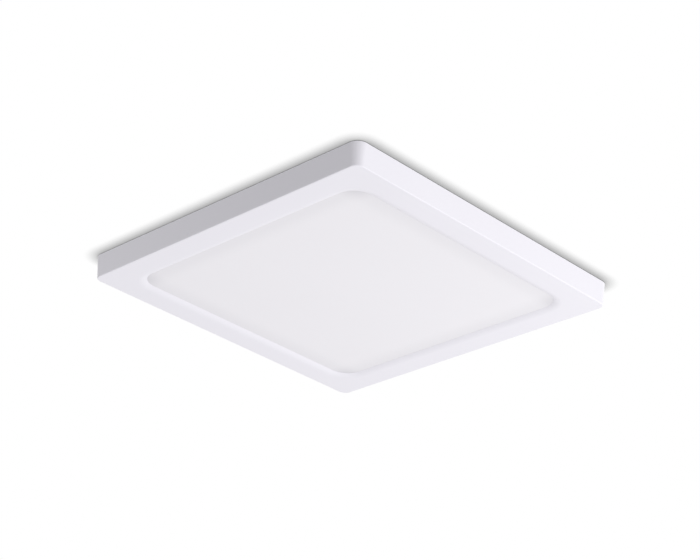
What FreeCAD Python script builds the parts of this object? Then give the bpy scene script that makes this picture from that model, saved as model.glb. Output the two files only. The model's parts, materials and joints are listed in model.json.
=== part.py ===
"""Square slim LED downlight with two sliding sprung clips and a driver box.

All lengths are in millimetres and all angles in degrees. The origin lies in the middle of the plane
where the frame meets the ceiling. +Z points up into the ceiling, and the light leaves towards -Z.
"""
import FreeCAD
import Part
import Sketcher
import math
import os

VECTOR = FreeCAD.Vector
QUARTER = math.pi / 2
SAME = 0.01
TINY = 1e-9

doc = FreeCAD.newDocument("downlight")
dim = doc.addObject("Spreadsheet::Sheet", "dim")

# Every size that can be chosen on its own
SIZES = {
    # front frame
    "face_width": 225, "face_height": 15, "side_draft": 5, "corner_radius": 6.5, "frame_wall": 2,
    "rim_thickness": 1.6, "rim_width": 20.5, "opening_radius": 13, "lip_round": 5, "lip_land": 0.4,
    "edge_round": 0.6,
    "ridge_thickness": 2, "boss_diameter": 6, "rib_thickness": 1.2, "rib_drop": 1, "joint_bite": 0.5,
    # sheets behind the opening
    "sheet_overlap": 5, "sheet_corner": 3, "diffuser_thickness": 1.5, "guide_thickness": 2.5,
    "reflector_thickness": 0.4, "foam_thickness": 1,
    # light strip
    "led_gap": 0.4, "led_height": 0.7, "led_length": 3, "led_width": 1.4, "led_count": 18,
    "led_end_margin": 8, "strip_thickness": 0.6, "strip_margin": 0.4, "strip_corner": 4, "strip_ease": 0.2,
    # back plate and its screws
    "plate_thickness": 1, "plate_clearance": 0.5, "emboss_inset": 18, "emboss_width": 50,
    "emboss_height": 0.8, "emboss_corner": 10, "emboss_round": 0.5, "screw_spread": 65,
    "screw_diameter": 3, "screw_head": 5.5, "screw_head_height": 1.8, "screw_length": 4.6,
    "screw_hole_depth": 5, "screw_clearance": 0.05, "hole_clearance": 0.15, "drive_width": 0.7,
    "drive_span": 3, "drive_depth": 1,
    # clip rails and rivets
    "rail_width": 16, "rail_height": 5.2, "rail_wall": 1, "rail_slot": 8, "rail_start": 33, "rail_tab": 8,
    "rail_margin": 1.5, "tab_round": 2, "rivet_diameter": 3.2, "rivet_head": 6.4, "rivet_head_height": 1.3,
    "rivet_round": 0.8,
    # clip carriages, pins and arms
    "slide_clearance": 0.3, "carriage_length": 18, "pivot_offset": 3, "ear_thickness": 2, "ear_radius": 4,
    "seat_length": 6, "pin_diameter": 3, "pin_clearance": 0.05, "pin_head": 5, "pin_head_height": 0.8,
    "pin_end_gap": 0.1, "tip_margin": 3, "arm_length": 37, "arm_width": 12, "arm_thickness": 1,
    "arm_side_gap": 0.3, "arm_height": 1.6, "stop_gap": 0.3, "arm_root": 3, "arm_ear_radius": 3.4,
    "arm_ear_reach": 13, "arm_slot_width": 4, "arm_slot_start": 16, "arm_slot_end": 24,
    # sleeves and springs
    "sleeve_length": 10, "sleeve_wall": 1, "sleeve_nose": 1.2, "sleeve_fit": 0.05, "sleeve_round": 0.8,
    "spring_wire": 0.9, "spring_radius": 2.9, "spring_turns": 4, "spring_pitch": 1.5, "spring_leg": 9,
    "spring_seat": 0.1,
    # driver box
    "driver_top": 18, "driver_wall": 1.6, "driver_floor": 2, "driver_corner": 3, "cover_thickness": 2,
    "cover_round": 0.8, "cover_gap": 0.4, "partition": 4, "driver_screw_inset": 7, "driver_screw_offset": 15,
    "small_boss": 4.4, "small_screw": 2.2, "small_head": 4.2, "small_head_height": 1.4,
    "small_screw_length": 6, "small_drive_width": 0.6, "small_drive_span": 2.4, "small_drive_depth": 0.8,
    "boss_bite": 0.2, "passage_diameter": 6, "passage_inset": 3,
    # circuit board and its parts
    "board_width": 28, "board_lip": 0.5, "board_tail": 0.2, "board_thickness": 1.6, "board_lift": 3,
    "board_gap": 0.3, "board_clearance": 5.4, "board_screw_inset": 2.5, "board_screw_offset": 4,
    "board_screw_length": 4, "core_width": 20, "core_depth": 10, "core_height": 14, "core_leg": 5,
    "core_window": 4.5, "core_yoke": 2.5, "winding_space": 1, "winding_gap": 0.3, "winding_depth": 16,
    "winding_corner": 3, "input_can_diameter": 10, "input_can_height": 14, "input_can_reach": 10.5,
    "input_can_gap": 1.8, "output_can_diameter": 7, "output_can_height": 12, "output_can_reach": 9.5,
    "output_can_gap": 2, "can_round": 0.8, "choke_diameter": 7.6, "choke_height": 8, "choke_flange": 1.2,
    "choke_waist": 6, "choke_space": 0.8, "choke_gap": 0.7, "fuse_diameter": 3.6, "fuse_length": 12,
    "fuse_cap": 2.5, "fuse_cap_step": 0.3, "fuse_gap": 0.9, "fuse_lift": 0.4,
    "plug_width": 10, "plug_depth": 6, "plug_height": 5,
    # mains terminal
    "block_width": 16, "block_gap": 2.5, "block_depth": 12, "block_height": 9.4, "block_round": 0.6,
    "pole_spacing": 8, "wire_hole": 3.2, "wire_hole_height": 3.9, "wire_hole_depth": 6,
    "button_width": 3.6, "button_length": 4.6, "button_gap": 0.2, "button_inset": 2, "button_sink": 2.5,
    "button_rise": 1.8, "button_travel": 1.2, "button_bottom": 0.3, "button_round": 0.4,
    # cable clamp and grommet
    "inlet_height": 6, "inlet_space": 3.9, "cable_diameter": 7.5, "clamp_space": 2.5, "clamp_post_x": 7,
    "clamp_post": 4.8, "clamp_bar_depth": 5, "clamp_bar_height": 2.5, "clamp_bar_overhang": 1.6, "clamp_gap": 0.3,
    "grommet_flange": 13, "grommet_neck": 10, "grommet_rim": 1.5, "grommet_fit": 0.05,
    # terminal lid and hinge
    "lid_gap": 0.2, "lid_thickness": 2, "knuckle_radius": 2, "knuckle_inset": 4.7, "knuckle_gap": 0.3,
    "knuckle_length": 8, "hinge_gap": 0.4, "hinge_pin": 1.6, "hinge_clearance": 0.05, "hinge_pin_end": 0.5,
    "catch_x": 13, "catch_width": 6, "catch_thickness": 1.2, "catch_drop": 5, "catch_gap": 0.9,
    "grip_half": 8, "grip_depth": 2.5, "grip_height": 0.8,
}
for row, (name, number) in enumerate(SIZES.items(), 1):
    dim.set(f"A{row}", name)
    dim.set(f"B{row}", str(number))
    dim.setAlias(f"B{row}", name)
doc.recompute()

# Places that follow from those sizes, as expressions on the sheet
HALF = "(dim.face_width / 2)"
DRAFT = "(dim.face_height * tan(dim.side_draft))"
CAVITY = f"({HALF} - {DRAFT} - dim.frame_wall)"
CAVITY_CORNER = f"(dim.corner_radius - {DRAFT} - dim.frame_wall)"
OPENING = f"({HALF} - dim.rim_width)"
LIP_HEIGHT = "(dim.rim_thickness - dim.lip_land)"
LIP_REACH = f"(sqrt(2 * dim.lip_round * {LIP_HEIGHT} - {LIP_HEIGHT} * {LIP_HEIGHT}) - dim.lip_round)"
SHEET = f"({OPENING} + dim.sheet_overlap)"
STRIP_IN = f"({SHEET} + dim.led_gap + dim.led_height)"
RIDGE_IN = f"({STRIP_IN} + dim.strip_thickness)"
RIDGE_OUT = f"({RIDGE_IN} + dim.ridge_thickness)"
BOSS = f"(({RIDGE_OUT} + {CAVITY}) / 2)"
PLATE = f"({CAVITY} - dim.plate_clearance)"
Z_RIM = "(dim.rim_thickness - dim.face_height)"
Z_GUIDE = f"({Z_RIM} + dim.diffuser_thickness)"
Z_REFLECTOR = f"({Z_GUIDE} + dim.guide_thickness)"
Z_FOAM = f"({Z_REFLECTOR} + dim.reflector_thickness)"
Z_PLATE = f"({Z_FOAM} + dim.foam_thickness)"
Z_DECK = f"({Z_PLATE} + dim.plate_thickness)"

RAIL_END = f"({PLATE} - dim.rail_margin - dim.rail_tab)"
RAIL_TOP = f"({Z_DECK} + dim.rail_height)"
PIVOT_X = f"({CAVITY} - dim.tip_margin - dim.arm_length)"
ARM_TOP = "(dim.arm_height + dim.arm_thickness)"
PIVOT_Z = f"({ARM_TOP} + dim.spring_seat + dim.spring_wire / 2 + dim.spring_radius)"
CARRIAGE_X = f"({PIVOT_X} - dim.pivot_offset)"
CARRIAGE_TOP = "(dim.arm_height - dim.stop_gap)"
CARRIAGE_WIDTH = "(dim.arm_width + 2 * dim.arm_side_gap + 2 * dim.ear_thickness)"

# The driver box is as long as what lies in its two rooms, in front of the hinge and behind it
FRONT_ROOM = ("(dim.partition / 2 + dim.block_gap + dim.block_depth + dim.board_lip + dim.clamp_space"
              " + dim.clamp_bar_depth + dim.inlet_space + dim.driver_wall)")
BACK_ROOM = ("(dim.partition / 2 + dim.fuse_gap + dim.fuse_diameter + dim.winding_space + dim.winding_depth"
             " + dim.output_can_gap + dim.output_can_diameter + dim.choke_gap + dim.choke_diameter"
             " + dim.board_tail + dim.board_clearance + dim.driver_wall)")
BOX_X = "(dim.board_width / 2 + dim.board_clearance + dim.driver_wall)"
BOX_Y = f"(({FRONT_ROOM} + {BACK_ROOM}) / 2)"
HINGE_Y = f"({BOX_Y} - {FRONT_ROOM})"
BLOCK_BACK = f"({HINGE_Y} + dim.partition / 2 + dim.block_gap)"
BOARD_FRONT = f"({BLOCK_BACK} + dim.block_depth + dim.board_lip)"
CLAMP_Y = f"({BOARD_FRONT} + dim.clamp_space + dim.clamp_bar_depth / 2)"
FUSE_Y = f"({HINGE_Y} - dim.partition / 2 - dim.fuse_gap - dim.fuse_diameter / 2)"
CORE_Y = f"({FUSE_Y} - dim.fuse_diameter / 2 - dim.winding_space - dim.winding_depth / 2)"
WINDING_BACK = f"({CORE_Y} - dim.winding_depth / 2)"
CAN_X = {kind: f"(dim.board_width / 2 - dim.{kind}_can_reach + dim.{kind}_can_diameter / 2)"
         for kind in ("input", "output")}
CAN_Y = {kind: f"({WINDING_BACK} - dim.{kind}_can_gap - dim.{kind}_can_diameter / 2)"
         for kind in ("input", "output")}
CHOKE_X = "(dim.plug_width / 2 + dim.choke_space + dim.choke_diameter / 2)"
CHOKE_Y = f"({CAN_Y['output']} - dim.output_can_diameter / 2 - dim.choke_gap - dim.choke_diameter / 2)"
BOARD_BACK = f"({CHOKE_Y} - dim.choke_diameter / 2 - dim.board_tail)"
BOARD_SCREW_X = "(dim.board_width / 2 - dim.board_screw_inset)"
BOARD_SCREWS = (WINDING_BACK, f"({BOARD_FRONT} - dim.board_screw_offset)")
DRIVER_SCREW_X = f"({BOX_X} - dim.driver_screw_inset)"
DRIVER_SCREWS = (f"(dim.driver_screw_offset - {BOX_Y})", f"({BOX_Y} - dim.driver_screw_inset)")
PASSAGE_Y = f"({BOARD_BACK} + dim.passage_inset)"
Z_FLOOR = f"({Z_DECK} + dim.driver_floor)"
Z_WALL = "(dim.driver_top - dim.cover_thickness)"
Z_BOARD = f"({Z_FLOOR} + dim.board_lift)"
Z_PARTS = f"({Z_BOARD} + dim.board_thickness)"
Z_LID = f"({Z_WALL} + dim.lid_gap)"
Z_HINGE = f"({Z_LID} + dim.knuckle_radius)"
KNUCKLE_X = f"({BOX_X} - dim.knuckle_inset - dim.knuckle_length)"
BARREL = f"({KNUCKLE_X} - dim.knuckle_gap)"
CLAMP_Z = "(dim.inlet_height + dim.cable_diameter / 2 + dim.clamp_gap)"
COVER_SCREW_X = f"({BOX_X} - dim.driver_wall - dim.small_boss / 2 + dim.boss_bite)"
COVER_SCREW_BACK = f"(-{BOX_Y} + dim.driver_wall + dim.small_boss / 2 - dim.boss_bite)"
COVER_SCREW_FRONT = f"({HINGE_Y} - dim.partition / 2 - dim.small_boss / 2 + dim.boss_bite)"

parts = {}


def number(expression):
    """The value that an expression on the sheet has now."""
    return float(dim.evalExpression(expression))


def new_body(label):
    """Start a sub-part and file it under its label."""
    body = doc.addObject("PartDesign::Body", label)
    body.Label = label
    parts[label] = body
    return body


def base_of(body, role):
    """One of a body's own planes or axes."""
    return next(item for item in body.Origin.OriginFeatures if item.Role == role)


def sketch(body, plane, across="0", along="0", lift="0"):
    """An empty sketch on a plane of the body, shifted across, along and out of that plane."""
    drawing = body.newObject("Sketcher::SketchObject", "outline")
    drawing.AttachmentSupport = [(base_of(body, plane + "_Plane"), "")]
    drawing.MapMode = "FlatFace"
    for axis, shift in zip("xyz", (across, along, lift)):
        drawing.setExpression("AttachmentOffset.Base." + axis, shift)
    return drawing


def pin_point(drawing, shape, point, x, y):
    """Tie one point of a shape to two expressions."""
    for kind, place in (("DistanceX", x), ("DistanceY", y)):
        rule = Sketcher.Constraint(kind, -1, 1, shape, point, number(place))
        drawing.setExpression(f"Constraints[{drawing.addConstraint(rule)}]", place)


def loop(drawing, corners):
    """A closed outline of straight lines through the given corners."""
    spots = [VECTOR(number(x), number(y), 0) for x, y in corners]
    lines = [drawing.addGeometry(Part.LineSegment(spot, spots[(k + 1) % len(spots)]), False)
             for k, spot in enumerate(spots)]
    for k, line in enumerate(lines):
        drawing.addConstraint(Sketcher.Constraint("Coincident", line, 2, lines[(k + 1) % len(lines)], 1))
        pin_point(drawing, line, 1, *corners[k])


def rectangle(drawing, left, low, right, high):
    """A rectangle between two corners."""
    loop(drawing, [(left, low), (right, low), (right, high), (left, high)])


def rounded(drawing, left, low, right, high, radius):
    """A rectangle between two corners, with round corners."""
    inner_left = f"{left} + {radius}"
    inner_right = f"{right} - {radius}"
    inner_low = f"{low} + {radius}"
    inner_high = f"{high} - {radius}"
    ends = [(inner_left, low), (inner_right, low), (right, inner_low), (right, inner_high),
            (inner_right, high), (inner_left, high), (left, inner_high), (left, inner_low)]
    middles = [(inner_right, inner_low), (inner_right, inner_high), (inner_left, inner_high), (inner_left, inner_low)]
    spots = [VECTOR(number(x), number(y), 0) for x, y in ends]
    sides = []
    for k in range(4):
        side = drawing.addGeometry(Part.LineSegment(spots[2 * k], spots[2 * k + 1]), False)
        pin_point(drawing, side, 1, *ends[2 * k])
        pin_point(drawing, side, 2, *ends[2 * k + 1])
        sides.append(side)
    for k, (x, y) in enumerate(middles):
        ring = Part.Circle(VECTOR(number(x), number(y), 0), VECTOR(0, 0, 1), number(radius))
        corner = drawing.addGeometry(Part.ArcOfCircle(ring, (k - 1) * QUARTER, k * QUARTER), False)
        drawing.addConstraint(Sketcher.Constraint("Coincident", corner, 1, sides[k], 2))
        drawing.addConstraint(Sketcher.Constraint("Coincident", corner, 2, sides[(k + 1) % 4], 1))
        rule = drawing.addConstraint(Sketcher.Constraint("Radius", corner, number(radius)))
        drawing.setExpression(f"Constraints[{rule}]", radius)


def rounded_square(drawing, half, radius):
    """A square with round corners around the middle of the sketch."""
    rounded(drawing, f"-{half}", f"-{half}", half, half, f"({radius})")


def circle(drawing, x, y, radius):
    """A circle with its middle and radius tied to expressions."""
    shape = drawing.addGeometry(Part.Circle(VECTOR(number(x), number(y), 0), VECTOR(0, 0, 1), number(radius)), False)
    pin_point(drawing, shape, 3, x, y)
    rule = drawing.addConstraint(Sketcher.Constraint("Radius", shape, number(radius)))
    drawing.setExpression(f"Constraints[{rule}]", radius)


def pad(body, drawing, length, both_ways=False, reverse=False, taper=None):
    """Add material along the normal of a sketch."""
    feature = body.newObject("PartDesign::Pad", "pad")
    feature.Profile = drawing
    feature.setExpression("Length", length)
    feature.Midplane = both_ways
    feature.Reversed = reverse
    if taper:
        feature.setExpression("TaperAngle", taper)
    doc.recompute()
    return feature


def pocket(body, drawing, depth, both_ways=False, reverse=False):
    """Cut material against the normal of a sketch, and make sure that something was cut."""
    before = body.Shape.Volume
    feature = body.newObject("PartDesign::Pocket", "pocket")
    feature.Profile = drawing
    feature.setExpression("Length", depth)
    feature.Midplane = both_ways
    feature.Reversed = reverse
    doc.recompute()
    if body.Shape.Volume > before - SAME:
        raise RuntimeError("a pocket cuts nothing in " + body.Label)
    return feature


def turned(body, drawing):
    """Turn a closed outline around the sketch's own horizontal axis."""
    feature = body.newObject("PartDesign::Revolution", "turned")
    feature.Profile = drawing
    feature.ReferenceAxis = (drawing, ["H_Axis"])
    feature.Angle = 360
    doc.recompute()
    return feature


def soften(body, radius, chosen):
    """Round every edge of the body that the test picks."""
    names = [f"Edge{k}" for k, edge in enumerate(body.Shape.Edges, 1) if chosen(edge)]
    if not names:
        raise RuntimeError("no edge to round in " + body.Label)
    last = body.Tip
    feature = body.newObject("PartDesign::Fillet", "round")
    feature.Base = (last, names)
    feature.setExpression("Radius", radius)
    doc.recompute()
    return feature


def around(body, features, count):
    """Repeat features around the Z axis."""
    pattern = body.newObject("PartDesign::PolarPattern", "around")
    pattern.Originals = features
    pattern.Axis = (base_of(body, "Z_Axis"), [""])
    pattern.Angle = 360
    pattern.Occurrences = count
    body.Tip = pattern
    doc.recompute()
    return pattern


def mirrored(body, features, plane):
    """Repeat features on the other side of one of the body's planes."""
    pattern = body.newObject("PartDesign::Mirrored", "mirrored")
    pattern.Originals = features
    pattern.MirrorPlane = (base_of(body, plane + "_Plane"), [""])
    body.Tip = pattern
    doc.recompute()
    return pattern


def upright(edge):
    """True for an edge that runs mainly along Z."""
    box = edge.BoundBox
    return box.ZLength > max(box.XLength, box.YLength)


def outermost(edge):
    """The larger of an edge's two distances from the middle."""
    middle = edge.BoundBox.Center
    return max(abs(middle.x), abs(middle.y))


def level(height):
    """A test for edges that lie flat at one height."""
    z = number(height)
    return lambda edge: abs(edge.BoundBox.ZMin - z) < SAME and abs(edge.BoundBox.ZMax - z) < SAME


def plate_block(label, x0, y0, x1, y1, z, thickness):
    """A body that starts as a block between two corners, standing on a height."""
    body = new_body(label)
    drawing = sketch(body, "XY", lift=z)
    rectangle(drawing, x0, y0, x1, y1)
    pad(body, drawing, thickness)
    return body


def cross_recess(body, x, y, z, span, width, depth):
    """A cross-shaped drive recess, cut down from a screw head."""
    far = f"{span} / 2"
    near = f"{width} / 2"
    drawing = sketch(body, "XY", across=x, along=y, lift=z)
    loop(drawing, [(near, near), (near, far), (f"-{near}", far), (f"-{near}", near),
                   (f"-{far}", near), (f"-{far}", f"-{near}"), (f"-{near}", f"-{near}"),
                   (f"-{near}", f"-{far}"), (near, f"-{far}"), (near, f"-{near}"),
                   (far, f"-{near}"), (far, near)])
    return pocket(body, drawing, depth)


def screw(label, x, y, seat, size):
    """One upright pan-head screw whose head stands on the seat height."""
    kind = {"large": ("dim.screw_diameter", "dim.screw_head", "dim.screw_head_height", "dim.drive_span",
                      "dim.drive_width", "dim.drive_depth"),
            "small": ("dim.small_screw", "dim.small_head", "dim.small_head_height", "dim.small_drive_span",
                      "dim.small_drive_width", "dim.small_drive_depth")}[size[0]]
    shank, head, head_height, span, width, depth = kind
    body = new_body(label)
    rod = sketch(body, "XY", lift=seat)
    circle(rod, x, y, f"{shank} / 2")
    features = [pad(body, rod, size[1], reverse=True)]
    cap = sketch(body, "XY", lift=seat)
    circle(cap, x, y, f"{head} / 2")
    features.append(pad(body, cap, head_height))
    features.append(cross_recess(body, x, y, f"{seat} + {head_height}", span, width, depth))
    return body, features


def repeat(body, features, turns=0, mirror=None, step=None):
    """Repeat a whole fastener by mirroring, by turning or by one step along Y."""
    group = body.newObject("PartDesign::MultiTransform", "repeat")
    group.Originals = features
    steps = []
    if mirror:
        other_side = body.newObject("PartDesign::Mirrored", "other_side")
        other_side.MirrorPlane = (base_of(body, mirror + "_Plane"), [""])
        steps.append(other_side)
    if step:
        row = body.newObject("PartDesign::LinearPattern", "row")
        row.Direction = (base_of(body, "Y_Axis"), [""])
        row.setExpression("Length", step)
        row.Occurrences = 2
        steps.append(row)
    if turns:
        ring = body.newObject("PartDesign::PolarPattern", "ring")
        ring.Axis = (base_of(body, "Z_Axis"), [""])
        ring.Angle = 360
        ring.Occurrences = turns
        steps.append(ring)
    group.Transformations = steps
    body.Tip = group
    doc.recompute()
    return group


def half_turn(label):
    """Place a clip part on the left by a half turn about the vertical axis."""
    parts[label].Placement = FreeCAD.Placement(VECTOR(0, 0, 0), FreeCAD.Rotation(VECTOR(0, 0, 1), 180))


# Front frame: tapered shell, rim with the rounded opening, ridge, ribs and bosses
def build_front_frame():
    body = new_body("front_frame")
    outline = sketch(body, "XY")
    rounded_square(outline, HALF, "dim.corner_radius")
    pad(body, outline, "dim.face_height", reverse=True, taper="-dim.side_draft")

    # The lip's arc is rounded on the full block, and the opening then ends it at a short upright land
    underside = level("-dim.face_height")
    between = number(SHEET)
    arc = sketch(body, "XY")
    rounded_square(arc, f"({OPENING} + {LIP_REACH})", f"dim.opening_radius + {LIP_REACH}")
    pocket(body, arc, "dim.face_height")
    soften(body, "dim.lip_round", lambda edge: underside(edge) and outermost(edge) < between)
    opening = sketch(body, "XY")
    rounded_square(opening, OPENING, "dim.opening_radius")
    pocket(body, opening, "dim.face_height")

    cavity = sketch(body, "XY")
    rounded_square(cavity, CAVITY, CAVITY_CORNER)
    pocket(body, cavity, "dim.face_height - dim.rim_thickness")

    ridge = sketch(body, "XY", lift=Z_RIM)
    rounded_square(ridge, RIDGE_OUT, "dim.strip_corner + dim.ridge_thickness")
    rounded_square(ridge, RIDGE_IN, "dim.strip_corner")
    pad(body, ridge, f"{Z_PLATE} - {Z_RIM}")

    ribs = sketch(body, "XY", lift=Z_RIM)
    bosses = sketch(body, "XY", lift=Z_RIM)
    holes = sketch(body, "XY", lift=Z_PLATE)
    for side in ("", "-"):
        middle = f"{side}dim.screw_spread"
        rectangle(ribs, f"{RIDGE_OUT} - dim.joint_bite", f"{middle} - dim.rib_thickness / 2",
                  f"{CAVITY} + dim.joint_bite", f"{middle} + dim.rib_thickness / 2")
        circle(bosses, BOSS, middle, "dim.boss_diameter / 2")
        circle(holes, BOSS, middle, "dim.screw_diameter / 2 + dim.screw_clearance")
    one_side = [pad(body, ribs, f"{Z_PLATE} - {Z_RIM} - dim.rib_drop"),
                pad(body, bosses, f"{Z_PLATE} - {Z_RIM}"),
                pocket(body, holes, "dim.screw_hole_depth")]
    around(body, one_side, 4)

    soften(body, "dim.edge_round", lambda edge: underside(edge) and outermost(edge) > between)


# Sheets that lie on the inside of the rim, from the diffuser up to the foam
def build_sheets():
    stack = (("diffuser", Z_RIM, "dim.diffuser_thickness"), ("light_guide", Z_GUIDE, "dim.guide_thickness"),
             ("reflector_sheet", Z_REFLECTOR, "dim.reflector_thickness"), ("foam_pad", Z_FOAM, "dim.foam_thickness"))
    for label, height, thickness in stack:
        body = new_body(label)
        outline = sketch(body, "XY", lift=height)
        rounded_square(outline, SHEET, "dim.sheet_corner")
        pad(body, outline, thickness)


# Flexible strip inside the ridge, and its chips
def build_light_strip():
    body = new_body("led_strip")
    band = sketch(body, "XY", lift=Z_RIM)
    rounded_square(band, RIDGE_IN, "dim.strip_corner + dim.strip_ease")
    rounded_square(band, STRIP_IN, "dim.strip_corner + dim.strip_ease - dim.strip_thickness")
    pad(body, band, f"{Z_PLATE} - dim.strip_margin - {Z_RIM}")

    chips = new_body("led_chips")
    first = f"dim.led_end_margin - {SHEET}"
    middle = f"({Z_GUIDE} + dim.guide_thickness / 2)"
    chip = sketch(chips, "XY", lift=f"{middle} - dim.led_width / 2")
    rectangle(chip, f"{STRIP_IN} - dim.led_height", f"{first} - dim.led_length / 2",
              STRIP_IN, f"{first} + dim.led_length / 2")
    features = [pad(chips, chip, "dim.led_width")]
    group = chips.newObject("PartDesign::MultiTransform", "rows")
    group.Originals = features
    row = chips.newObject("PartDesign::LinearPattern", "row")
    row.Direction = (base_of(chips, "Y_Axis"), [""])
    row.setExpression("Length", f"2 * {SHEET} - 2 * dim.led_end_margin")
    row.setExpression("Occurrences", "dim.led_count")
    sides = chips.newObject("PartDesign::PolarPattern", "sides")
    sides.Axis = (base_of(chips, "Z_Axis"), [""])
    sides.Angle = 360
    sides.Occurrences = 4
    group.Transformations = [row, sides]
    chips.Tip = group
    doc.recompute()


# Back plate with embossed fields, screw holes, rivet holes and the passage under the driver
def build_back_plate():
    body = new_body("back_plate")
    outline = sketch(body, "XY", lift=Z_PLATE)
    rounded_square(outline, PLATE, f"{CAVITY_CORNER} - dim.plate_clearance")
    pad(body, outline, "dim.plate_thickness")

    field = sketch(body, "XY", lift=Z_DECK)
    far = f"({PLATE} - dim.emboss_inset)"
    near = f"({far} - dim.emboss_width)"
    rounded(field, near, near, far, far, "dim.emboss_corner")
    raised = pad(body, field, "dim.emboss_height")
    around(body, [raised], 4)
    soften(body, "dim.emboss_round", level(f"{Z_DECK} + dim.emboss_height"))

    holes = sketch(body, "XY", lift=Z_DECK)
    for side in ("", "-"):
        circle(holes, BOSS, f"{side}dim.screw_spread", "dim.screw_diameter / 2 + dim.hole_clearance")
    around(body, [pocket(body, holes, "dim.plate_thickness")], 4)

    more = sketch(body, "XY", lift=Z_DECK)
    rivet_hole = "dim.rivet_diameter / 2 + dim.screw_clearance"
    driver_hole = "dim.screw_diameter / 2 + dim.screw_clearance"
    for side in ("", "-"):
        circle(more, f"{side}(dim.rail_start - dim.rail_tab / 2)", "0", rivet_hole)
        circle(more, f"{side}({RAIL_END} + dim.rail_tab / 2)", "0", rivet_hole)
        for spot in DRIVER_SCREWS:
            circle(more, side + DRIVER_SCREW_X, spot, driver_hole)
    circle(more, "0", PASSAGE_Y, "dim.passage_diameter / 2")
    pocket(body, more, "dim.plate_thickness")

    screws, features = screw("plate_screws", BOSS, "dim.screw_spread", Z_DECK, ("large", "dim.screw_length"))
    repeat(screws, features, turns=4, mirror="XZ")


# One folded rail on the right side
def build_rail(label):
    body = new_body(label)
    wide = "dim.rail_width / 2"
    inner = "(dim.rail_width / 2 - dim.rail_wall)"
    lip = "dim.rail_slot / 2"
    low = Z_DECK
    floor = f"({Z_DECK} + dim.rail_wall)"
    under = f"({RAIL_TOP} - dim.rail_wall)"
    section = sketch(body, "YZ", lift="dim.rail_start")
    loop(section, [(f"-{wide}", low), (wide, low), (wide, RAIL_TOP), (lip, RAIL_TOP), (lip, under), (inner, under),
                   (inner, floor), (f"-{inner}", floor), (f"-{inner}", under), (f"-{lip}", under),
                   (f"-{lip}", RAIL_TOP), (f"-{wide}", RAIL_TOP)])
    pad(body, section, f"{RAIL_END} - dim.rail_start")
    tabs = sketch(body, "XY", lift=Z_DECK)
    rectangle(tabs, "dim.rail_start - dim.rail_tab", f"-{wide}", f"{RAIL_END} + dim.rail_tab", wide)
    pad(body, tabs, "dim.rail_wall")
    ends = (number("dim.rail_start - dim.rail_tab"), number(f"{RAIL_END} + dim.rail_tab"))
    soften(body, "dim.tab_round", lambda edge: upright(edge)
           and min(abs(edge.BoundBox.Center.x - end) for end in ends) < SAME)
    holes = sketch(body, "XY", lift=floor)
    for spot in ("dim.rail_start - dim.rail_tab / 2", f"{RAIL_END} + dim.rail_tab / 2"):
        circle(holes, spot, "0", "dim.rivet_diameter / 2 + dim.screw_clearance")
    pocket(body, holes, "dim.rail_wall")


# Flush rivets through the rail tabs and the plate, whose heads also stop the carriages
def build_rivets():
    body = new_body("rail_rivets")
    top = f"({Z_DECK} + dim.rail_wall)"
    shanks = sketch(body, "XY", lift=top)
    heads = sketch(body, "XY", lift=top)
    for side in ("", "-"):
        for spot in ("(dim.rail_start - dim.rail_tab / 2)", f"({RAIL_END} + dim.rail_tab / 2)"):
            circle(shanks, side + spot, "0", "dim.rivet_diameter / 2")
            circle(heads, side + spot, "0", "dim.rivet_head / 2")
    pad(body, shanks, "dim.rail_wall + dim.plate_thickness", reverse=True)
    pad(body, heads, "dim.rivet_head_height")
    soften(body, "dim.rivet_round", level(f"{top} + dim.rivet_head_height"))


# One carriage: a foot in the rail, a neck through its slot, a stop ledge, a spring seat and two ears
def build_carriage(label):
    body = new_body(label)
    foot = "(dim.rail_width / 2 - dim.rail_wall - dim.slide_clearance)"
    neck = "(dim.rail_slot / 2 - dim.slide_clearance)"
    wide = f"({CARRIAGE_WIDTH} / 2)"
    foot_low = f"({Z_DECK} + dim.rail_wall + dim.slide_clearance)"
    foot_top = f"({RAIL_TOP} - dim.rail_wall - dim.slide_clearance)"
    base_low = f"({RAIL_TOP} + dim.slide_clearance)"
    section = sketch(body, "YZ", lift=f"{CARRIAGE_X} - dim.carriage_length / 2")
    loop(section, [(f"-{foot}", foot_low), (foot, foot_low), (foot, foot_top), (neck, foot_top), (neck, base_low),
                   (wide, base_low), (wide, CARRIAGE_TOP), (f"-{wide}", CARRIAGE_TOP), (f"-{wide}", base_low),
                   (f"-{neck}", base_low), (f"-{neck}", foot_top), (f"-{foot}", foot_top)])
    pad(body, section, "dim.carriage_length")

    seat = sketch(body, "XY", lift=CARRIAGE_TOP)
    back = f"({CARRIAGE_X} - dim.carriage_length / 2)"
    rectangle(seat, back, f"-{wide}", f"{back} + dim.seat_length", wide)
    pad(body, seat, f"{ARM_TOP} - {CARRIAGE_TOP}")

    posts = sketch(body, "XZ")
    rectangle(posts, f"{PIVOT_X} - dim.ear_radius", CARRIAGE_TOP, f"{PIVOT_X} + dim.ear_radius", PIVOT_Z)
    pad(body, posts, CARRIAGE_WIDTH, both_ways=True)
    crowns = sketch(body, "XZ")
    circle(crowns, PIVOT_X, PIVOT_Z, "dim.ear_radius")
    pad(body, crowns, CARRIAGE_WIDTH, both_ways=True)
    gap = sketch(body, "XZ")
    rectangle(gap, f"{PIVOT_X} - dim.ear_radius - dim.joint_bite", CARRIAGE_TOP,
              f"{PIVOT_X} + dim.ear_radius + dim.joint_bite", f"{PIVOT_Z} + dim.ear_radius + dim.joint_bite")
    pocket(body, gap, "dim.arm_width + 2 * dim.arm_side_gap", both_ways=True)
    bore = sketch(body, "XZ")
    circle(bore, PIVOT_X, PIVOT_Z, "dim.pin_diameter / 2 + dim.pin_clearance")
    pocket(body, bore, f"{CARRIAGE_WIDTH} + dim.joint_bite", both_ways=True)


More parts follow.
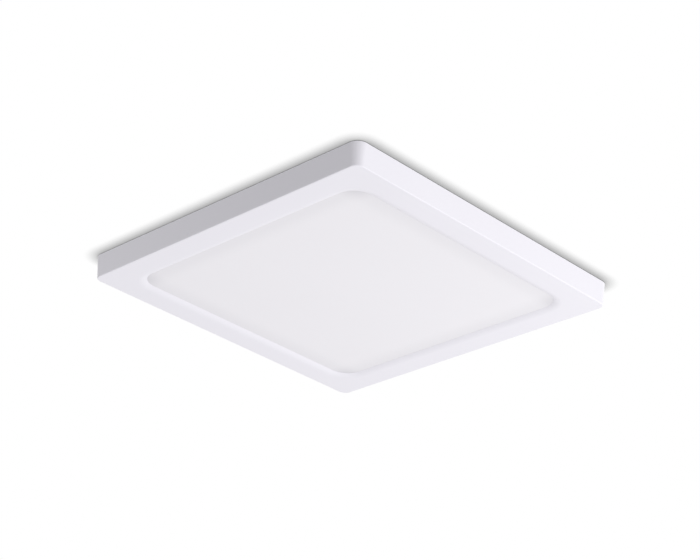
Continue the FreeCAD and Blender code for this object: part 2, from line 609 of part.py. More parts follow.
# One pivot pin with a flat head at each end
def build_pin(label):
    body = new_body(label)
    reach = f"({CARRIAGE_WIDTH} / 2 + dim.pin_end_gap)"
    end = f"({reach} + dim.pin_head_height)"
    rod = "dim.pin_diameter / 2"
    head = "dim.pin_head / 2"
    outline = sketch(body, "YZ", along=PIVOT_Z, lift=PIVOT_X)
    loop(outline, [(f"-{end}", "0"), (end, "0"), (end, head), (reach, head), (reach, rod), (f"-{reach}", rod),
                   (f"-{reach}", head), (f"-{end}", head)])
    turned(body, outline)


# One pressed arm: a strip with two upturned ears and a lightening slot
def build_arm(label):
    body = new_body(label)
    strip = sketch(body, "XZ")
    rectangle(strip, f"{PIVOT_X} + dim.arm_root", "dim.arm_height",
              f"{PIVOT_X} + dim.arm_length - dim.sleeve_nose - dim.sleeve_fit", ARM_TOP)
    pad(body, strip, "dim.arm_width", both_ways=True)
    ears = sketch(body, "XZ")
    loop(ears, [(PIVOT_X, f"{PIVOT_Z} + dim.arm_ear_radius"), (f"{PIVOT_X} - dim.arm_ear_radius", PIVOT_Z),
                (f"{PIVOT_X} + dim.arm_root", "dim.arm_height"),
                (f"{PIVOT_X} + dim.arm_ear_reach", "dim.arm_height"), (f"{PIVOT_X} + dim.arm_ear_reach", ARM_TOP)])
    pad(body, ears, "dim.arm_width", both_ways=True)
    crowns = sketch(body, "XZ")
    circle(crowns, PIVOT_X, PIVOT_Z, "dim.arm_ear_radius")
    pad(body, crowns, "dim.arm_width", both_ways=True)
    channel = sketch(body, "XZ")
    rectangle(channel, f"{PIVOT_X} - dim.arm_ear_radius - dim.joint_bite", ARM_TOP,
              f"{PIVOT_X} + dim.arm_ear_reach + dim.joint_bite", f"{PIVOT_Z} + dim.arm_ear_radius + dim.joint_bite")
    pocket(body, channel, "dim.arm_width - 2 * dim.arm_thickness", both_ways=True)
    bore = sketch(body, "XZ")
    circle(bore, PIVOT_X, PIVOT_Z, "dim.pin_diameter / 2 + dim.pin_clearance")
    pocket(body, bore, "dim.arm_width + dim.joint_bite", both_ways=True)
    slot = sketch(body, "XY", lift=ARM_TOP)
    rectangle(slot, f"{PIVOT_X} + dim.arm_slot_start", "-dim.arm_slot_width / 2",
              f"{PIVOT_X} + dim.arm_slot_end", "dim.arm_slot_width / 2")
    pocket(body, slot, "dim.arm_thickness")


# One soft sleeve that is pushed onto the tip of an arm
def build_sleeve(label):
    body = new_body(label)
    wide = "(dim.arm_width / 2 + dim.sleeve_wall)"
    start = f"({PIVOT_X} + dim.arm_length - dim.sleeve_length)"
    shell = sketch(body, "YZ", lift=start)
    rectangle(shell, f"-{wide}", "dim.arm_height - dim.sleeve_wall", wide, f"{ARM_TOP} + dim.sleeve_wall")
    pad(body, shell, "dim.sleeve_length")
    tip = number(f"{start} + dim.sleeve_length")
    soften(body, "dim.sleeve_round", lambda edge: abs(edge.BoundBox.XMin - tip) < SAME)
    inside = sketch(body, "YZ", lift=start)
    rectangle(inside, "-dim.arm_width / 2 - dim.sleeve_fit", "dim.arm_height - dim.sleeve_fit",
              "dim.arm_width / 2 + dim.sleeve_fit", f"{ARM_TOP} + dim.sleeve_fit")
    pocket(body, inside, "dim.sleeve_length - dim.sleeve_nose", reverse=True)


def arc_from(start, heading, end):
    """The arc that leaves a point along a heading and ends at another point."""
    chord = end.sub(start)
    side = heading.sub(chord * (heading.dot(chord) / chord.dot(chord)))
    turn = heading.getAngle(chord)
    if side.Length < TINY:
        return Part.LineSegment(start, end).toShape()
    rise = chord.Length / 2 * turn_rise(turn)
    middle = start + chord * 0.5 + side.normalize() * rise
    return Part.Arc(start, middle, end).toShape()


def turn_rise(turn):
    """Height of an arc over its half chord, for the angle between heading and chord."""
    return math.tan(turn / 2)


def biarc(start, heading, end, arrival):
    """Two arcs that join two points and keep both directions."""
    gap = end.sub(start)
    both = heading + arrival
    square_term = 2 * (heading.dot(arrival) - 1)
    slope = gap.dot(both)
    if abs(square_term) < TINY:
        reach = gap.dot(gap) / (2 * slope)
    else:
        root = (slope ** 2 - square_term * gap.dot(gap)) ** 0.5
        reach = (slope - root) / square_term
    near = start + heading * reach
    far = end - arrival * reach
    joint = (near + far) * 0.5
    return [arc_from(start, heading, joint), arc_from(joint, far.sub(near).normalize(), end)]


def swept_wire(edges, start, heading, diameter):
    """One solid round wire along a chain of edges."""
    rim = Part.Wire(Part.makeCircle(diameter / 2, start, heading))
    path = Part.Wire(Part.__sortEdges__(edges))
    return path.makePipeShell([rim], True, False)


# One torsion spring: an unbroken wire with a leg, the turns around the pin and a second leg
def build_spring(label):
    radius = number("dim.spring_radius")
    pitch = number("dim.spring_pitch")
    turns = int(number("dim.spring_turns"))
    leg = number("dim.spring_leg")
    wire = number("dim.spring_wire")
    middle = VECTOR(number(PIVOT_X), 0, number(PIVOT_Z))
    forward = VECTOR(1, 0, 0)

    def on_coil(quarter):
        angle = (quarter - 1) * QUARTER
        return middle + VECTOR(radius * math.cos(angle), pitch * (quarter / 4 - turns / 2), radius * math.sin(angle))

    def along_coil(quarter):
        angle = (quarter - 1) * QUARTER
        return VECTOR(-radius * math.sin(angle), pitch / (4 * QUARTER), radius * math.cos(angle)).normalize()

    last = 4 * turns
    points = [on_coil(quarter) for quarter in range(last + 1)]
    headings = [along_coil(quarter) for quarter in range(last + 1)]
    headings[0] = headings[last] = forward
    start = points[0] - forward * leg
    edges = [Part.LineSegment(start, points[0]).toShape()]
    for quarter in range(last):
        edges += biarc(points[quarter], headings[quarter], points[quarter + 1], headings[quarter + 1])
    edges.append(Part.LineSegment(points[last], points[last] + forward * leg).toShape())
    feature = doc.addObject("Part::Feature", label)
    feature.Label = label
    feature.Shape = swept_wire(edges, start, forward, wire)
    feature.Placement = FreeCAD.Placement()
    parts[label] = feature

    samples = []
    for edge in edges:
        samples += edge.discretize(8)[:-1]
    skip = int(4 * wire / samples[9].sub(samples[8]).Length)
    gap = min(one.sub(other).Length for k, one in enumerate(samples) for other in samples[k + skip:])
    print(label, "least gap to itself", round(gap - wire, 3))


# Open driver box with a partition, posts, bosses and hinge knuckles
def build_driver_base():
    body = plate_block("driver_base", "-" + BOX_X, "-" + BOX_Y, BOX_X, BOX_Y, Z_DECK, f"{Z_WALL} - {Z_DECK}")
    soften(body, "dim.driver_corner", upright)
    depth = f"{Z_WALL} - {Z_FLOOR}"
    inner_x = f"({BOX_X} - dim.driver_wall)"
    inner_y = f"({BOX_Y} - dim.driver_wall)"
    back = f"({HINGE_Y} - dim.partition / 2)"
    front = f"({HINGE_Y} + dim.partition / 2)"
    rooms = sketch(body, "XY", lift=Z_WALL)
    rectangle(rooms, "-" + inner_x, "-" + inner_y, inner_x, back)
    rectangle(rooms, "-" + inner_x, front, inner_x, inner_y)
    pocket(body, rooms, depth)
    tunnel = sketch(body, "XZ", lift="-" + HINGE_Y)
    rectangle(tunnel, "-dim.board_width / 2 - dim.board_gap", Z_FLOOR,
              "dim.board_width / 2 + dim.board_gap", f"{Z_PARTS} + dim.board_gap")
    pocket(body, tunnel, "dim.partition + dim.joint_bite", both_ways=True)

    posts = sketch(body, "XY", lift=Z_FLOOR)
    stands = sketch(body, "XY", lift=Z_FLOOR)
    pillars = sketch(body, "XY", lift=Z_FLOOR)
    corners = sketch(body, "XY", lift=Z_FLOOR)
    post_holes = sketch(body, "XY", lift=Z_BOARD)
    stand_holes = sketch(body, "XY", lift=CLAMP_Z)
    pillar_holes = sketch(body, "XY", lift=Z_WALL)
    floor_holes = sketch(body, "XY", lift=Z_FLOOR)
    pilot = "dim.small_screw / 2 + dim.screw_clearance"
    for side in ("", "-"):
        for spot in BOARD_SCREWS:
            circle(posts, side + BOARD_SCREW_X, spot, "dim.small_boss / 2")
            circle(post_holes, side + BOARD_SCREW_X, spot, pilot)
        circle(stands, f"{side}dim.clamp_post_x", CLAMP_Y, "dim.clamp_post / 2")
        circle(stand_holes, f"{side}dim.clamp_post_x", CLAMP_Y, pilot)
        for spot in (COVER_SCREW_BACK, COVER_SCREW_FRONT):
            circle(pillars, side + COVER_SCREW_X, spot, "dim.small_boss / 2")
            circle(pillar_holes, side + COVER_SCREW_X, spot, pilot)
        ends = sorted((side + COVER_SCREW_X, f"{side}({inner_x} + dim.joint_bite)"), key=number)
        rectangle(corners, ends[0], COVER_SCREW_FRONT, ends[1], f"{back} + dim.joint_bite")
        rectangle(corners, ends[0], f"-{inner_y} - dim.joint_bite", ends[1], COVER_SCREW_BACK)
        for spot in DRIVER_SCREWS:
            circle(floor_holes, side + DRIVER_SCREW_X, spot, "dim.screw_diameter / 2 + dim.screw_clearance")
    pad(body, posts, "dim.board_lift")
    pad(body, stands, f"{CLAMP_Z} - {Z_FLOOR}")
    pad(body, pillars, depth)
    pad(body, corners, depth)
    pocket(body, post_holes, "dim.board_lift")
    pocket(body, stand_holes, "dim.small_screw_length")
    pocket(body, pillar_holes, "dim.small_screw_length")
    pocket(body, floor_holes, "dim.driver_floor")

    inlet = sketch(body, "XZ", lift=f"-{BOX_Y}")
    circle(inlet, "0", "dim.inlet_height", "dim.grommet_neck / 2 + dim.grommet_fit")
    pocket(body, inlet, "dim.driver_wall", reverse=True)
    passage = sketch(body, "XY", lift=Z_FLOOR)
    circle(passage, "0", PASSAGE_Y, "dim.passage_diameter / 2")
    pocket(body, passage, "dim.driver_floor")

    knuckle = sketch(body, "YZ", lift=KNUCKLE_X)
    rectangle(knuckle, f"{HINGE_Y} - dim.knuckle_radius", Z_WALL, f"{HINGE_Y} + dim.knuckle_radius", Z_HINGE)
    crown = sketch(body, "YZ", lift=KNUCKLE_X)
    circle(crown, HINGE_Y, Z_HINGE, "dim.knuckle_radius")
    bore = sketch(body, "YZ", lift=KNUCKLE_X)
    circle(bore, HINGE_Y, Z_HINGE, "dim.hinge_pin / 2 + dim.hinge_clearance")
    features = [pad(body, knuckle, "dim.knuckle_length"), pad(body, crown, "dim.knuckle_length"),
                pocket(body, bore, "dim.knuckle_length", reverse=True)]
    mirrored(body, features, "YZ")

    back_screw, front_screw = DRIVER_SCREWS
    screws, features = screw("driver_screws", DRIVER_SCREW_X, back_screw, Z_FLOOR,
                             ("large", "dim.driver_floor + dim.plate_thickness"))
    repeat(screws, features, mirror="YZ", step=f"{front_screw} - {back_screw}")


# Fixed cover over the electronics
def build_driver_cover():
    edge = f"({HINGE_Y} - dim.knuckle_radius - dim.cover_gap)"
    body = plate_block("driver_cover", "-" + BOX_X, "-" + BOX_Y, BOX_X, edge, Z_WALL, "dim.cover_thickness")
    back = number(BOX_Y)
    soften(body, "dim.driver_corner", lambda line: upright(line) and abs(line.BoundBox.YMin + back) < SAME)
    soften(body, "dim.cover_round", level("dim.driver_top"))
    holes = sketch(body, "XY", lift="dim.driver_top")
    for side in ("", "-"):
        for spot in (COVER_SCREW_BACK, COVER_SCREW_FRONT):
            circle(holes, side + COVER_SCREW_X, spot, "dim.small_screw / 2 + dim.hole_clearance")
    pocket(body, holes, "dim.cover_thickness")
    screws, features = screw("cover_screws", COVER_SCREW_X, COVER_SCREW_BACK, "dim.driver_top",
                             ("small", "dim.small_screw_length"))
    repeat(screws, features, mirror="YZ", step=f"{COVER_SCREW_FRONT} - {COVER_SCREW_BACK}")


# Circuit board with its screws
def build_board():
    body = plate_block("driver_board", "-dim.board_width / 2", BOARD_BACK, "dim.board_width / 2",
                       BOARD_FRONT, Z_BOARD, "dim.board_thickness")
    holes = sketch(body, "XY", lift=Z_PARTS)
    for side in ("", "-"):
        for spot in BOARD_SCREWS:
            circle(holes, side + BOARD_SCREW_X, spot, "dim.small_screw / 2 + dim.hole_clearance")
    pocket(body, holes, "dim.board_thickness")
    back_screw, front_screw = BOARD_SCREWS
    screws, features = screw("board_screws", BOARD_SCREW_X, back_screw, Z_PARTS, ("small", "dim.board_screw_length"))
    repeat(screws, features, mirror="YZ", step=f"{front_screw} - {back_screw}")


# Transformer, capacitors, choke, fuse and output connector on the board
def build_board_parts():
    core = plate_block("transformer_core", "-dim.core_width / 2", f"{CORE_Y} - dim.core_depth / 2",
                       "dim.core_width / 2", f"{CORE_Y} + dim.core_depth / 2", Z_PARTS, "dim.core_height")
    windows = sketch(core, "XZ", lift="-" + CORE_Y)
    low = f"({Z_PARTS} + dim.core_yoke)"
    high = f"({Z_PARTS} + dim.core_height - dim.core_yoke)"
    leg = "(dim.core_leg / 2)"
    rectangle(windows, leg, low, f"{leg} + dim.core_window", high)
    rectangle(windows, f"-{leg} - dim.core_window", low, f"-{leg}", high)
    pocket(core, windows, "dim.core_depth + dim.joint_bite", both_ways=True)

    winding = new_body("transformer_winding")
    ring = sketch(winding, "XY", along=CORE_Y, lift=f"{low} + dim.winding_gap")
    outer = f"({leg} + dim.core_window - dim.winding_gap)"
    rectangle(ring, "-" + outer, "-dim.winding_depth / 2", outer, "dim.winding_depth / 2")
    inner = f"({leg} + dim.winding_gap)"
    deep = "(dim.core_depth / 2 + dim.winding_gap)"
    rectangle(ring, "-" + inner, "-" + deep, inner, deep)
    pad(winding, ring, f"{high} - {low} - 2 * dim.winding_gap")
    reach = number(outer)
    soften(winding, "dim.winding_corner", lambda edge: upright(edge) and abs(abs(edge.BoundBox.XMin) - reach) < SAME)

    for label, kind, side in (("input_capacitor", "input", "-"), ("output_capacitor", "output", "")):
        can = new_body(label)
        outline = sketch(can, "XY", lift=Z_PARTS)
        circle(outline, side + CAN_X[kind], CAN_Y[kind], f"dim.{kind}_can_diameter / 2")
        pad(can, outline, f"dim.{kind}_can_height")
        soften(can, "dim.can_round", level(f"{Z_PARTS} + dim.{kind}_can_height"))

    choke = new_body("choke")
    for radius, height, thickness in (("dim.choke_diameter / 2", Z_PARTS, "dim.choke_flange"),
                                      ("dim.choke_waist / 2", Z_PARTS, "dim.choke_height"),
                                      ("dim.choke_diameter / 2", f"{Z_PARTS} + dim.choke_height - dim.choke_flange",
                                       "dim.choke_flange")):
        disc = sketch(choke, "XY", lift=height)
        circle(disc, CHOKE_X, CHOKE_Y, radius)
        pad(choke, disc, thickness)

    fuse = new_body("fuse")
    half = "(dim.fuse_length / 2)"
    thin = "(dim.fuse_diameter / 2 - dim.fuse_cap_step)"
    thick = "(dim.fuse_diameter / 2)"
    step = f"({half} - dim.fuse_cap)"
    outline = sketch(fuse, "XZ", along=f"{Z_PARTS} + dim.fuse_lift + {thick}", lift="-" + FUSE_Y)
    loop(outline, [(f"-{half}", "0"), (half, "0"), (half, thick), (step, thick), (step, thin), (f"-{step}", thin),
                   (f"-{step}", thick), (f"-{half}", thick)])
    turned(fuse, outline)

    plate_block("output_connector", "-dim.plug_width / 2", BOARD_BACK, "dim.plug_width / 2",
                f"{BOARD_BACK} + dim.plug_depth", Z_PARTS, "dim.plug_height")


def build_ring(body, y, z, flange, neck, rim):
    """A rubber ring in a wall: a neck the thickness of the wall between two flanges."""
    for radius, length in ((neck, f"dim.driver_wall + 2 * {rim}"), (flange, rim)):
        for shift in ("", "-") if radius == flange else ("",):
            offset = f"({y} + {shift}(dim.driver_wall + {rim}) / 2)" if radius == flange else f"({y})"
            disc = sketch(body, "XZ", lift=f"-{offset}")
            circle(disc, "0", z, radius)
            pad(body, disc, length, both_ways=True)


# Two-pole push-in terminal block with a release button for each pole
def build_terminal():
    front = f"({BLOCK_BACK} + dim.block_depth)"
    top = f"({Z_PARTS} + dim.block_height)"
    body = plate_block("terminal_block", "-dim.block_width / 2", BLOCK_BACK, "dim.block_width / 2", front, Z_PARTS,
                       "dim.block_height")
    soften(body, "dim.block_round", level(top))
    wires = sketch(body, "XZ", lift="-" + front)
    wells = sketch(body, "XY", lift=top)
    near = f"({BLOCK_BACK} + dim.button_inset)"
    far = f"({near} + dim.button_length)"
    for side in ("", "-"):
        middle = f"{side}dim.pole_spacing / 2"
        circle(wires, middle, f"{Z_PARTS} + dim.wire_hole_height", "dim.wire_hole / 2")
        rectangle(wells, f"{middle} - dim.button_width / 2 - dim.button_gap", f"{near} - dim.button_gap",
                  f"{middle} + dim.button_width / 2 + dim.button_gap", f"{far} + dim.button_gap")
    pocket(body, wires, "dim.wire_hole_depth", reverse=True)
    pocket(body, wells, "dim.button_sink + dim.button_travel + dim.button_bottom")
    for label, side in (("release_button_live", ""), ("release_button_neutral", "-")):
        middle = f"{side}dim.pole_spacing / 2"
        button = plate_block(label, f"{middle} - dim.button_width / 2", near, f"{middle} + dim.button_width / 2", far,
                             f"{top} - dim.button_sink", "dim.button_sink + dim.button_rise")
        soften(button, "dim.button_round", level(f"{top} + dim.button_rise"))


# Clamp bar on two stands, and the rubber grommet in the end wall
def build_cable_entry():
    reach = "(dim.clamp_post_x + dim.clamp_post / 2 + dim.clamp_bar_overhang)"
    body = plate_block("cable_clamp", "-" + reach, f"{CLAMP_Y} - dim.clamp_bar_depth / 2", reach,
                       f"{CLAMP_Y} + dim.clamp_bar_depth / 2", CLAMP_Z, "dim.clamp_bar_height")
    holes = sketch(body, "XY", lift=f"{CLAMP_Z} + dim.clamp_bar_height")
    for side in ("", "-"):
        circle(holes, f"{side}dim.clamp_post_x", CLAMP_Y, "dim.small_screw / 2 + dim.hole_clearance")
    pocket(body, holes, "dim.clamp_bar_height")
    soften(body, "dim.button_round", level(f"{CLAMP_Z} + dim.clamp_bar_height"))
    screws, features = screw("clamp_screws", "dim.clamp_post_x", CLAMP_Y, f"({CLAMP_Z} + dim.clamp_bar_height)",
                             ("small", "dim.small_screw_length"))
    repeat(screws, features, mirror="YZ")

    grommet = new_body("cable_grommet")
    middle = f"{BOX_Y} - dim.driver_wall / 2"
    build_ring(grommet, middle, "dim.inlet_height", "dim.grommet_flange / 2", "dim.grommet_neck / 2",
               "dim.grommet_rim")
    bore = sketch(grommet, "XZ", lift=f"-({middle})")
    circle(bore, "0", "dim.inlet_height", "dim.cable_diameter / 2")
    pocket(grommet, bore, "dim.driver_wall + 4 * dim.grommet_rim", both_ways=True)


# Hinged lid over the terminal bay, and its pin
def build_lid():
    front = BOX_Y
    back = f"({HINGE_Y} + dim.knuckle_radius + dim.hinge_gap)"
    body = plate_block("terminal_lid", "-" + BOX_X, back, BOX_X, front, Z_LID, "dim.lid_thickness")
    far = number(front)
    soften(body, "dim.driver_corner", lambda edge: upright(edge) and abs(edge.BoundBox.YMin - far) < SAME)
    web = sketch(body, "XY", lift=Z_LID)
    rectangle(web, "-" + BARREL, HINGE_Y, BARREL, f"{back} + dim.joint_bite")
    pad(body, web, "dim.lid_thickness")
    barrel = sketch(body, "YZ")
    circle(barrel, HINGE_Y, Z_HINGE, "dim.knuckle_radius")
    pad(body, barrel, f"2 * {BARREL}", both_ways=True)
    bore = sketch(body, "YZ")
    circle(bore, HINGE_Y, Z_HINGE, "dim.hinge_pin / 2 + dim.hinge_clearance")
    pocket(body, bore, f"2 * {BARREL} + dim.joint_bite", both_ways=True)
    wall = f"({BOX_Y} - dim.driver_wall - dim.catch_gap)"
    catches = sketch(body, "XY", lift=Z_LID)
    for side in ("", "-"):
        rectangle(catches, f"{side}dim.catch_x - dim.catch_width / 2", f"{wall} - dim.catch_thickness",
                  f"{side}dim.catch_x + dim.catch_width / 2", wall)
    pad(body, catches, "dim.catch_drop", reverse=True)
    grip = sketch(body, "XY", lift=f"{Z_LID} + dim.lid_thickness")
    rectangle(grip, "-dim.grip_half", f"{front} - dim.grip_depth", "dim.grip_half", front)
    pad(body, grip, "dim.grip_height")

    pin = new_body("lid_pin")
    rod = sketch(pin, "YZ")
    circle(rod, HINGE_Y, Z_HINGE, "dim.hinge_pin / 2")
    pad(pin, rod, f"2 * ({KNUCKLE_X} + dim.knuckle_length + dim.hinge_pin_end)", both_ways=True)


def build_clips():
    """Both clips: the left one is the right one after a half turn."""
    for side in ("right", "left"):
        for name, build in (("rail", build_rail), ("carriage", build_carriage), ("pin", build_pin),
                            ("arm", build_arm), ("sleeve", build_sleeve), ("spring", build_spring)):
            label = f"clip_{name}_{side}"
            build(label)
            if side == "left":
                half_turn(label)
    build_rivets()


def export_parts():
    """Check every object and write each sub-part to its own file."""
    doc.recompute()
    for item in doc.Objects:
        if {"Invalid", "Error"} & set(item.State):
            raise RuntimeError("broken object " + item.Name)
    os.makedirs("parts", exist_ok=True)
    for label, item in parts.items():
        if item.Shape.isNull() or not item.Shape.isValid():
            raise RuntimeError("bad shape " + label)
        item.Shape.exportStep("parts/" + label + ".step")


build_front_frame()
build_sheets()
build_light_strip()
build_back_plate()
build_clips()
build_driver_base()
build_driver_cover()
build_board()
build_board_parts()
build_terminal()
build_cable_entry()
build_lid()
export_parts()
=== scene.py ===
"""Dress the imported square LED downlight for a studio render.

All lengths are in metres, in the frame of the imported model: +Z points up into the ceiling, and the
light leaves towards -Z. The file is laid out as an add-on, and runs as a script.
"""
import json
import math

import bmesh
import bpy
from bpy.props import FloatProperty, FloatVectorProperty, IntProperty, PointerProperty
from mathutils import Matrix, Vector


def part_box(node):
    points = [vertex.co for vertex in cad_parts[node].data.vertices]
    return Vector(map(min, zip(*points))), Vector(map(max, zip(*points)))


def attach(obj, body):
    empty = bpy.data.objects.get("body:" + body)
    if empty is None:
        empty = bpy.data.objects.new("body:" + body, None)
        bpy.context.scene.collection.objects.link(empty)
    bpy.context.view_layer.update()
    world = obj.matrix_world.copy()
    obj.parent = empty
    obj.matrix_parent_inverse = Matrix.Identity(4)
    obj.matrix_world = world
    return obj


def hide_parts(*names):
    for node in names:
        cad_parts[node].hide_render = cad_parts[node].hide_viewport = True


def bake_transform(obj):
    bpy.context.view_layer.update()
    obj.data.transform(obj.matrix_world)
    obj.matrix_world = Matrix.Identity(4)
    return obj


bl_info = {
    "name": "Square downlight",
    "version": (1, 0, 0),
    "blender": (4, 5, 0),
    "location": "View3D > Sidebar > Downlight",
    "description": "Builds and finishes the pieces of a slim square ceiling downlight",
    "category": "Add Mesh",
}

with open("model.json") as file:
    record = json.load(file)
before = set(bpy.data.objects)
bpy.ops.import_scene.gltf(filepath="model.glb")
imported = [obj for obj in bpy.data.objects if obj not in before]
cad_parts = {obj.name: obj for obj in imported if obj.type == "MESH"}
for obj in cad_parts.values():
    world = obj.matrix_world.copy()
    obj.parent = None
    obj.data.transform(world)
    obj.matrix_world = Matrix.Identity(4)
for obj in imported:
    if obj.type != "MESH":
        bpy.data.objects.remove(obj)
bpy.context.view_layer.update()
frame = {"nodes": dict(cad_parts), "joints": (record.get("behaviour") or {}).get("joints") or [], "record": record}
NODES = frame["nodes"]
BODIES = frame["record"]["behaviour"]["bodies"]
BODY_OF = {node: body for body, names in BODIES.items() for node in names}
JOINT_OF = {joint["child"]: joint for joint in frame["joints"]}
SIDES = ("right", "left")
SMOOTH_LIMIT = math.radians(35)
FLAT_LIMIT = math.radians(1)
WELD = 1e-6
WHITE = (1, 1, 1)

# Facets across a plain round and across a fine one
PLAIN_STEPS = 2
FINE_STEPS = 3

# Places of the colour sockets of a Mix node
MIX_FIRST = 6
MIX_SECOND = 7
MIX_RESULT = 2


def length(name, description, default):
    """A length that a user may change."""
    return FloatProperty(name=name, description=description, default=default, min=0, precision=5,
                         unit="LENGTH")


def lens_length(name, description, millimetres):
    """A length of the camera in millimetres that a user may change."""
    return FloatProperty(name=name, description=description, default=millimetres, min=1, unit="CAMERA")


def angle(name, description, degrees):
    """An angle that a user may change."""
    return FloatProperty(name=name, description=description, default=math.radians(degrees),
                         subtype="ANGLE")


def level(name, description, default):
    """A plain number that a user may change."""
    return FloatProperty(name=name, description=description, default=default, min=0)


def count(name, description, default, least):
    """A whole number that a user may change."""
    return IntProperty(name=name, description=description, default=default, min=least)


def colour(name, description, default):
    """A colour that a user may change."""
    return FloatVectorProperty(name=name, description=description, default=default, min=0, max=1,
                               subtype="COLOR")


def vector(name, description, default, kind):
    """A place or a direction that a user may change."""
    return FloatVectorProperty(name=name, description=description, default=default, subtype=kind)


class DownlightSizes(bpy.types.PropertyGroup):
    """Sizes of the pieces that are modelled here."""

    corner_radius: length("Frame corner", "Radius of the frame's corners at the ceiling", 0.0065)
    frame_wall: length("Frame wall", "Thickness of the frame's side walls", 0.002)
    rim_thickness: length("Rim thickness", "Thickness of the rim around the opening", 0.0016)
    rim_overlap: length("Rim overlap", "How far the rim covers the diffuser", 0.005)
    opening_radius: length("Opening corner", "Radius of the opening's corners", 0.013)
    lip_round: length("Lip round", "Radius of the lip around the opening", 0.010)
    lip_land: length("Lip land", "Upright step between the lip and the diffuser", 0.0001)
    edge_round: length("Edge round", "Round on the lower outer edge", 0.0006)
    back_round: length("Back round", "Round on the edges that meet the ceiling", 0.0003)
    strip_corner: length("Strip corner", "Radius of the light strip's bends", 0.004)
    ridge_thickness: length("Ridge thickness", "Thickness of the ridge inside the frame", 0.002)
    boss_diameter: length("Boss diameter", "Diameter of the bosses for the plate screws", 0.006)
    boss_bore: length("Boss bore", "Diameter of the hole in each boss", 0.0031)
    rib_thickness: length("Rib thickness", "Thickness of the ribs beside the bosses", 0.0012)
    rib_drop: length("Rib drop", "How far the ribs stay below the plate", 0.001)
    screw_spread: length("Screw spread", "Distance of the plate screws from the middle of a side", 0.065)
    side_draft: angle("Side draft", "Lean of the side walls", 5)
    corner_steps: count("Corner steps", "Facets in each corner", 14, 2)
    round_steps: count("Round steps", "Facets across each round of the frame", 5, 1)
    boss_steps: count("Boss steps", "Facets around each boss", 24, 6)
    spring_wire: length("Spring wire", "Diameter of the spring wire", 0.0009)
    spring_radius: length("Spring radius", "Radius of the coil at the middle of the wire", 0.0029)
    spring_pitch: length("Spring pitch", "Step of the coil at each turn", 0.0015)
    spring_leg: length("Spring leg", "Length of each straight leg", 0.009)
    spring_turns: count("Spring turns", "Turns around the pivot pin", 4, 1)
    turn_steps: count("Turn steps", "Facets in each turn", 28, 6)
    wire_steps: count("Wire steps", "Facets around the wire", 12, 5)
    fine_round: length("Fine round", "Round on screws, pins and other small parts", 0.0002)
    part_round: length("Part round", "Round on moulded parts", 0.0003)
    rail_round: length("Rail round", "Round on the folded rails", 0.00035)
    plate_round: length("Plate round", "Round on the back plate", 0.00015)
    rivet_round: length("Rivet round", "Round on the rivets", 0.0001)
    grommet_round: length("Grommet round", "Round on the cable grommet", 0.0004)


class DownlightColours(bpy.types.PropertyGroup):
    """Colours of the finishes."""

    enamel: colour("Enamel", "White paint of the frame", (0.875, 0.866, 0.908))
    opal: colour("Opal", "Diffuser sheet", (0.888, 0.879, 0.898))
    # Painted shade: the diffuser's colour where it meets the rim and in the corners of the opening
    opal_painted_shade: colour("Opal edge", "Diffuser where the guide behind it ends", (0.64, 0.63, 0.66))
    guide: colour("Guide", "Edge-lit sheet", (0.80, 0.86, 0.87))
    film: colour("Film", "White reflector film", (0.86, 0.86, 0.86))
    foam: colour("Foam", "Grey foam", (0.085, 0.085, 0.09))
    plate: colour("Plate", "Rolled aluminium plate", (0.70, 0.71, 0.72))
    zinc: colour("Zinc", "Zinc-plated steel", (0.60, 0.61, 0.62))
    strip_steel: colour("Strip steel", "Hardened strip of the clip arms", (0.46, 0.47, 0.49))
    wire_steel: colour("Wire steel", "Drawn spring wire", (0.36, 0.36, 0.38))
    carriage: colour("Carriage", "Moulded clip carriage", (0.80, 0.80, 0.785))
    sleeve: colour("Sleeve", "Soft milky sleeve", (0.72, 0.72, 0.70))
    housing: colour("Housing", "Driver box", (0.78, 0.78, 0.78))
    board: colour("Board", "Solder mask", (0.016, 0.12, 0.045))
    tin: colour("Tin", "Tinned copper", (0.62, 0.60, 0.55))
    strip_board: colour("Strip board", "White light strip", (0.76, 0.76, 0.73))
    phosphor: colour("Phosphor", "Face of the light chips", (0.83, 0.56, 0.10))
    ferrite: colour("Ferrite", "Sintered core", (0.028, 0.028, 0.031))
    tape: colour("Tape", "Polyester tape of the winding", (0.72, 0.45, 0.035))
    shrink: colour("Shrink sleeve", "Sleeve of the capacitors", (0.012, 0.016, 0.032))
    tube: colour("Tube", "Ceramic body of the fuse", (0.76, 0.73, 0.62))
    terminal: colour("Terminal", "Terminal and clamp plastic", (0.64, 0.64, 0.63))
    button: colour("Button", "Release buttons", (0.75, 0.15, 0.012))
    rubber: colour("Rubber", "Cable grommet", (0.012, 0.012, 0.012))
    dust: colour("Dust", "Dust on the rubber", (0.5, 0.5, 0.48))


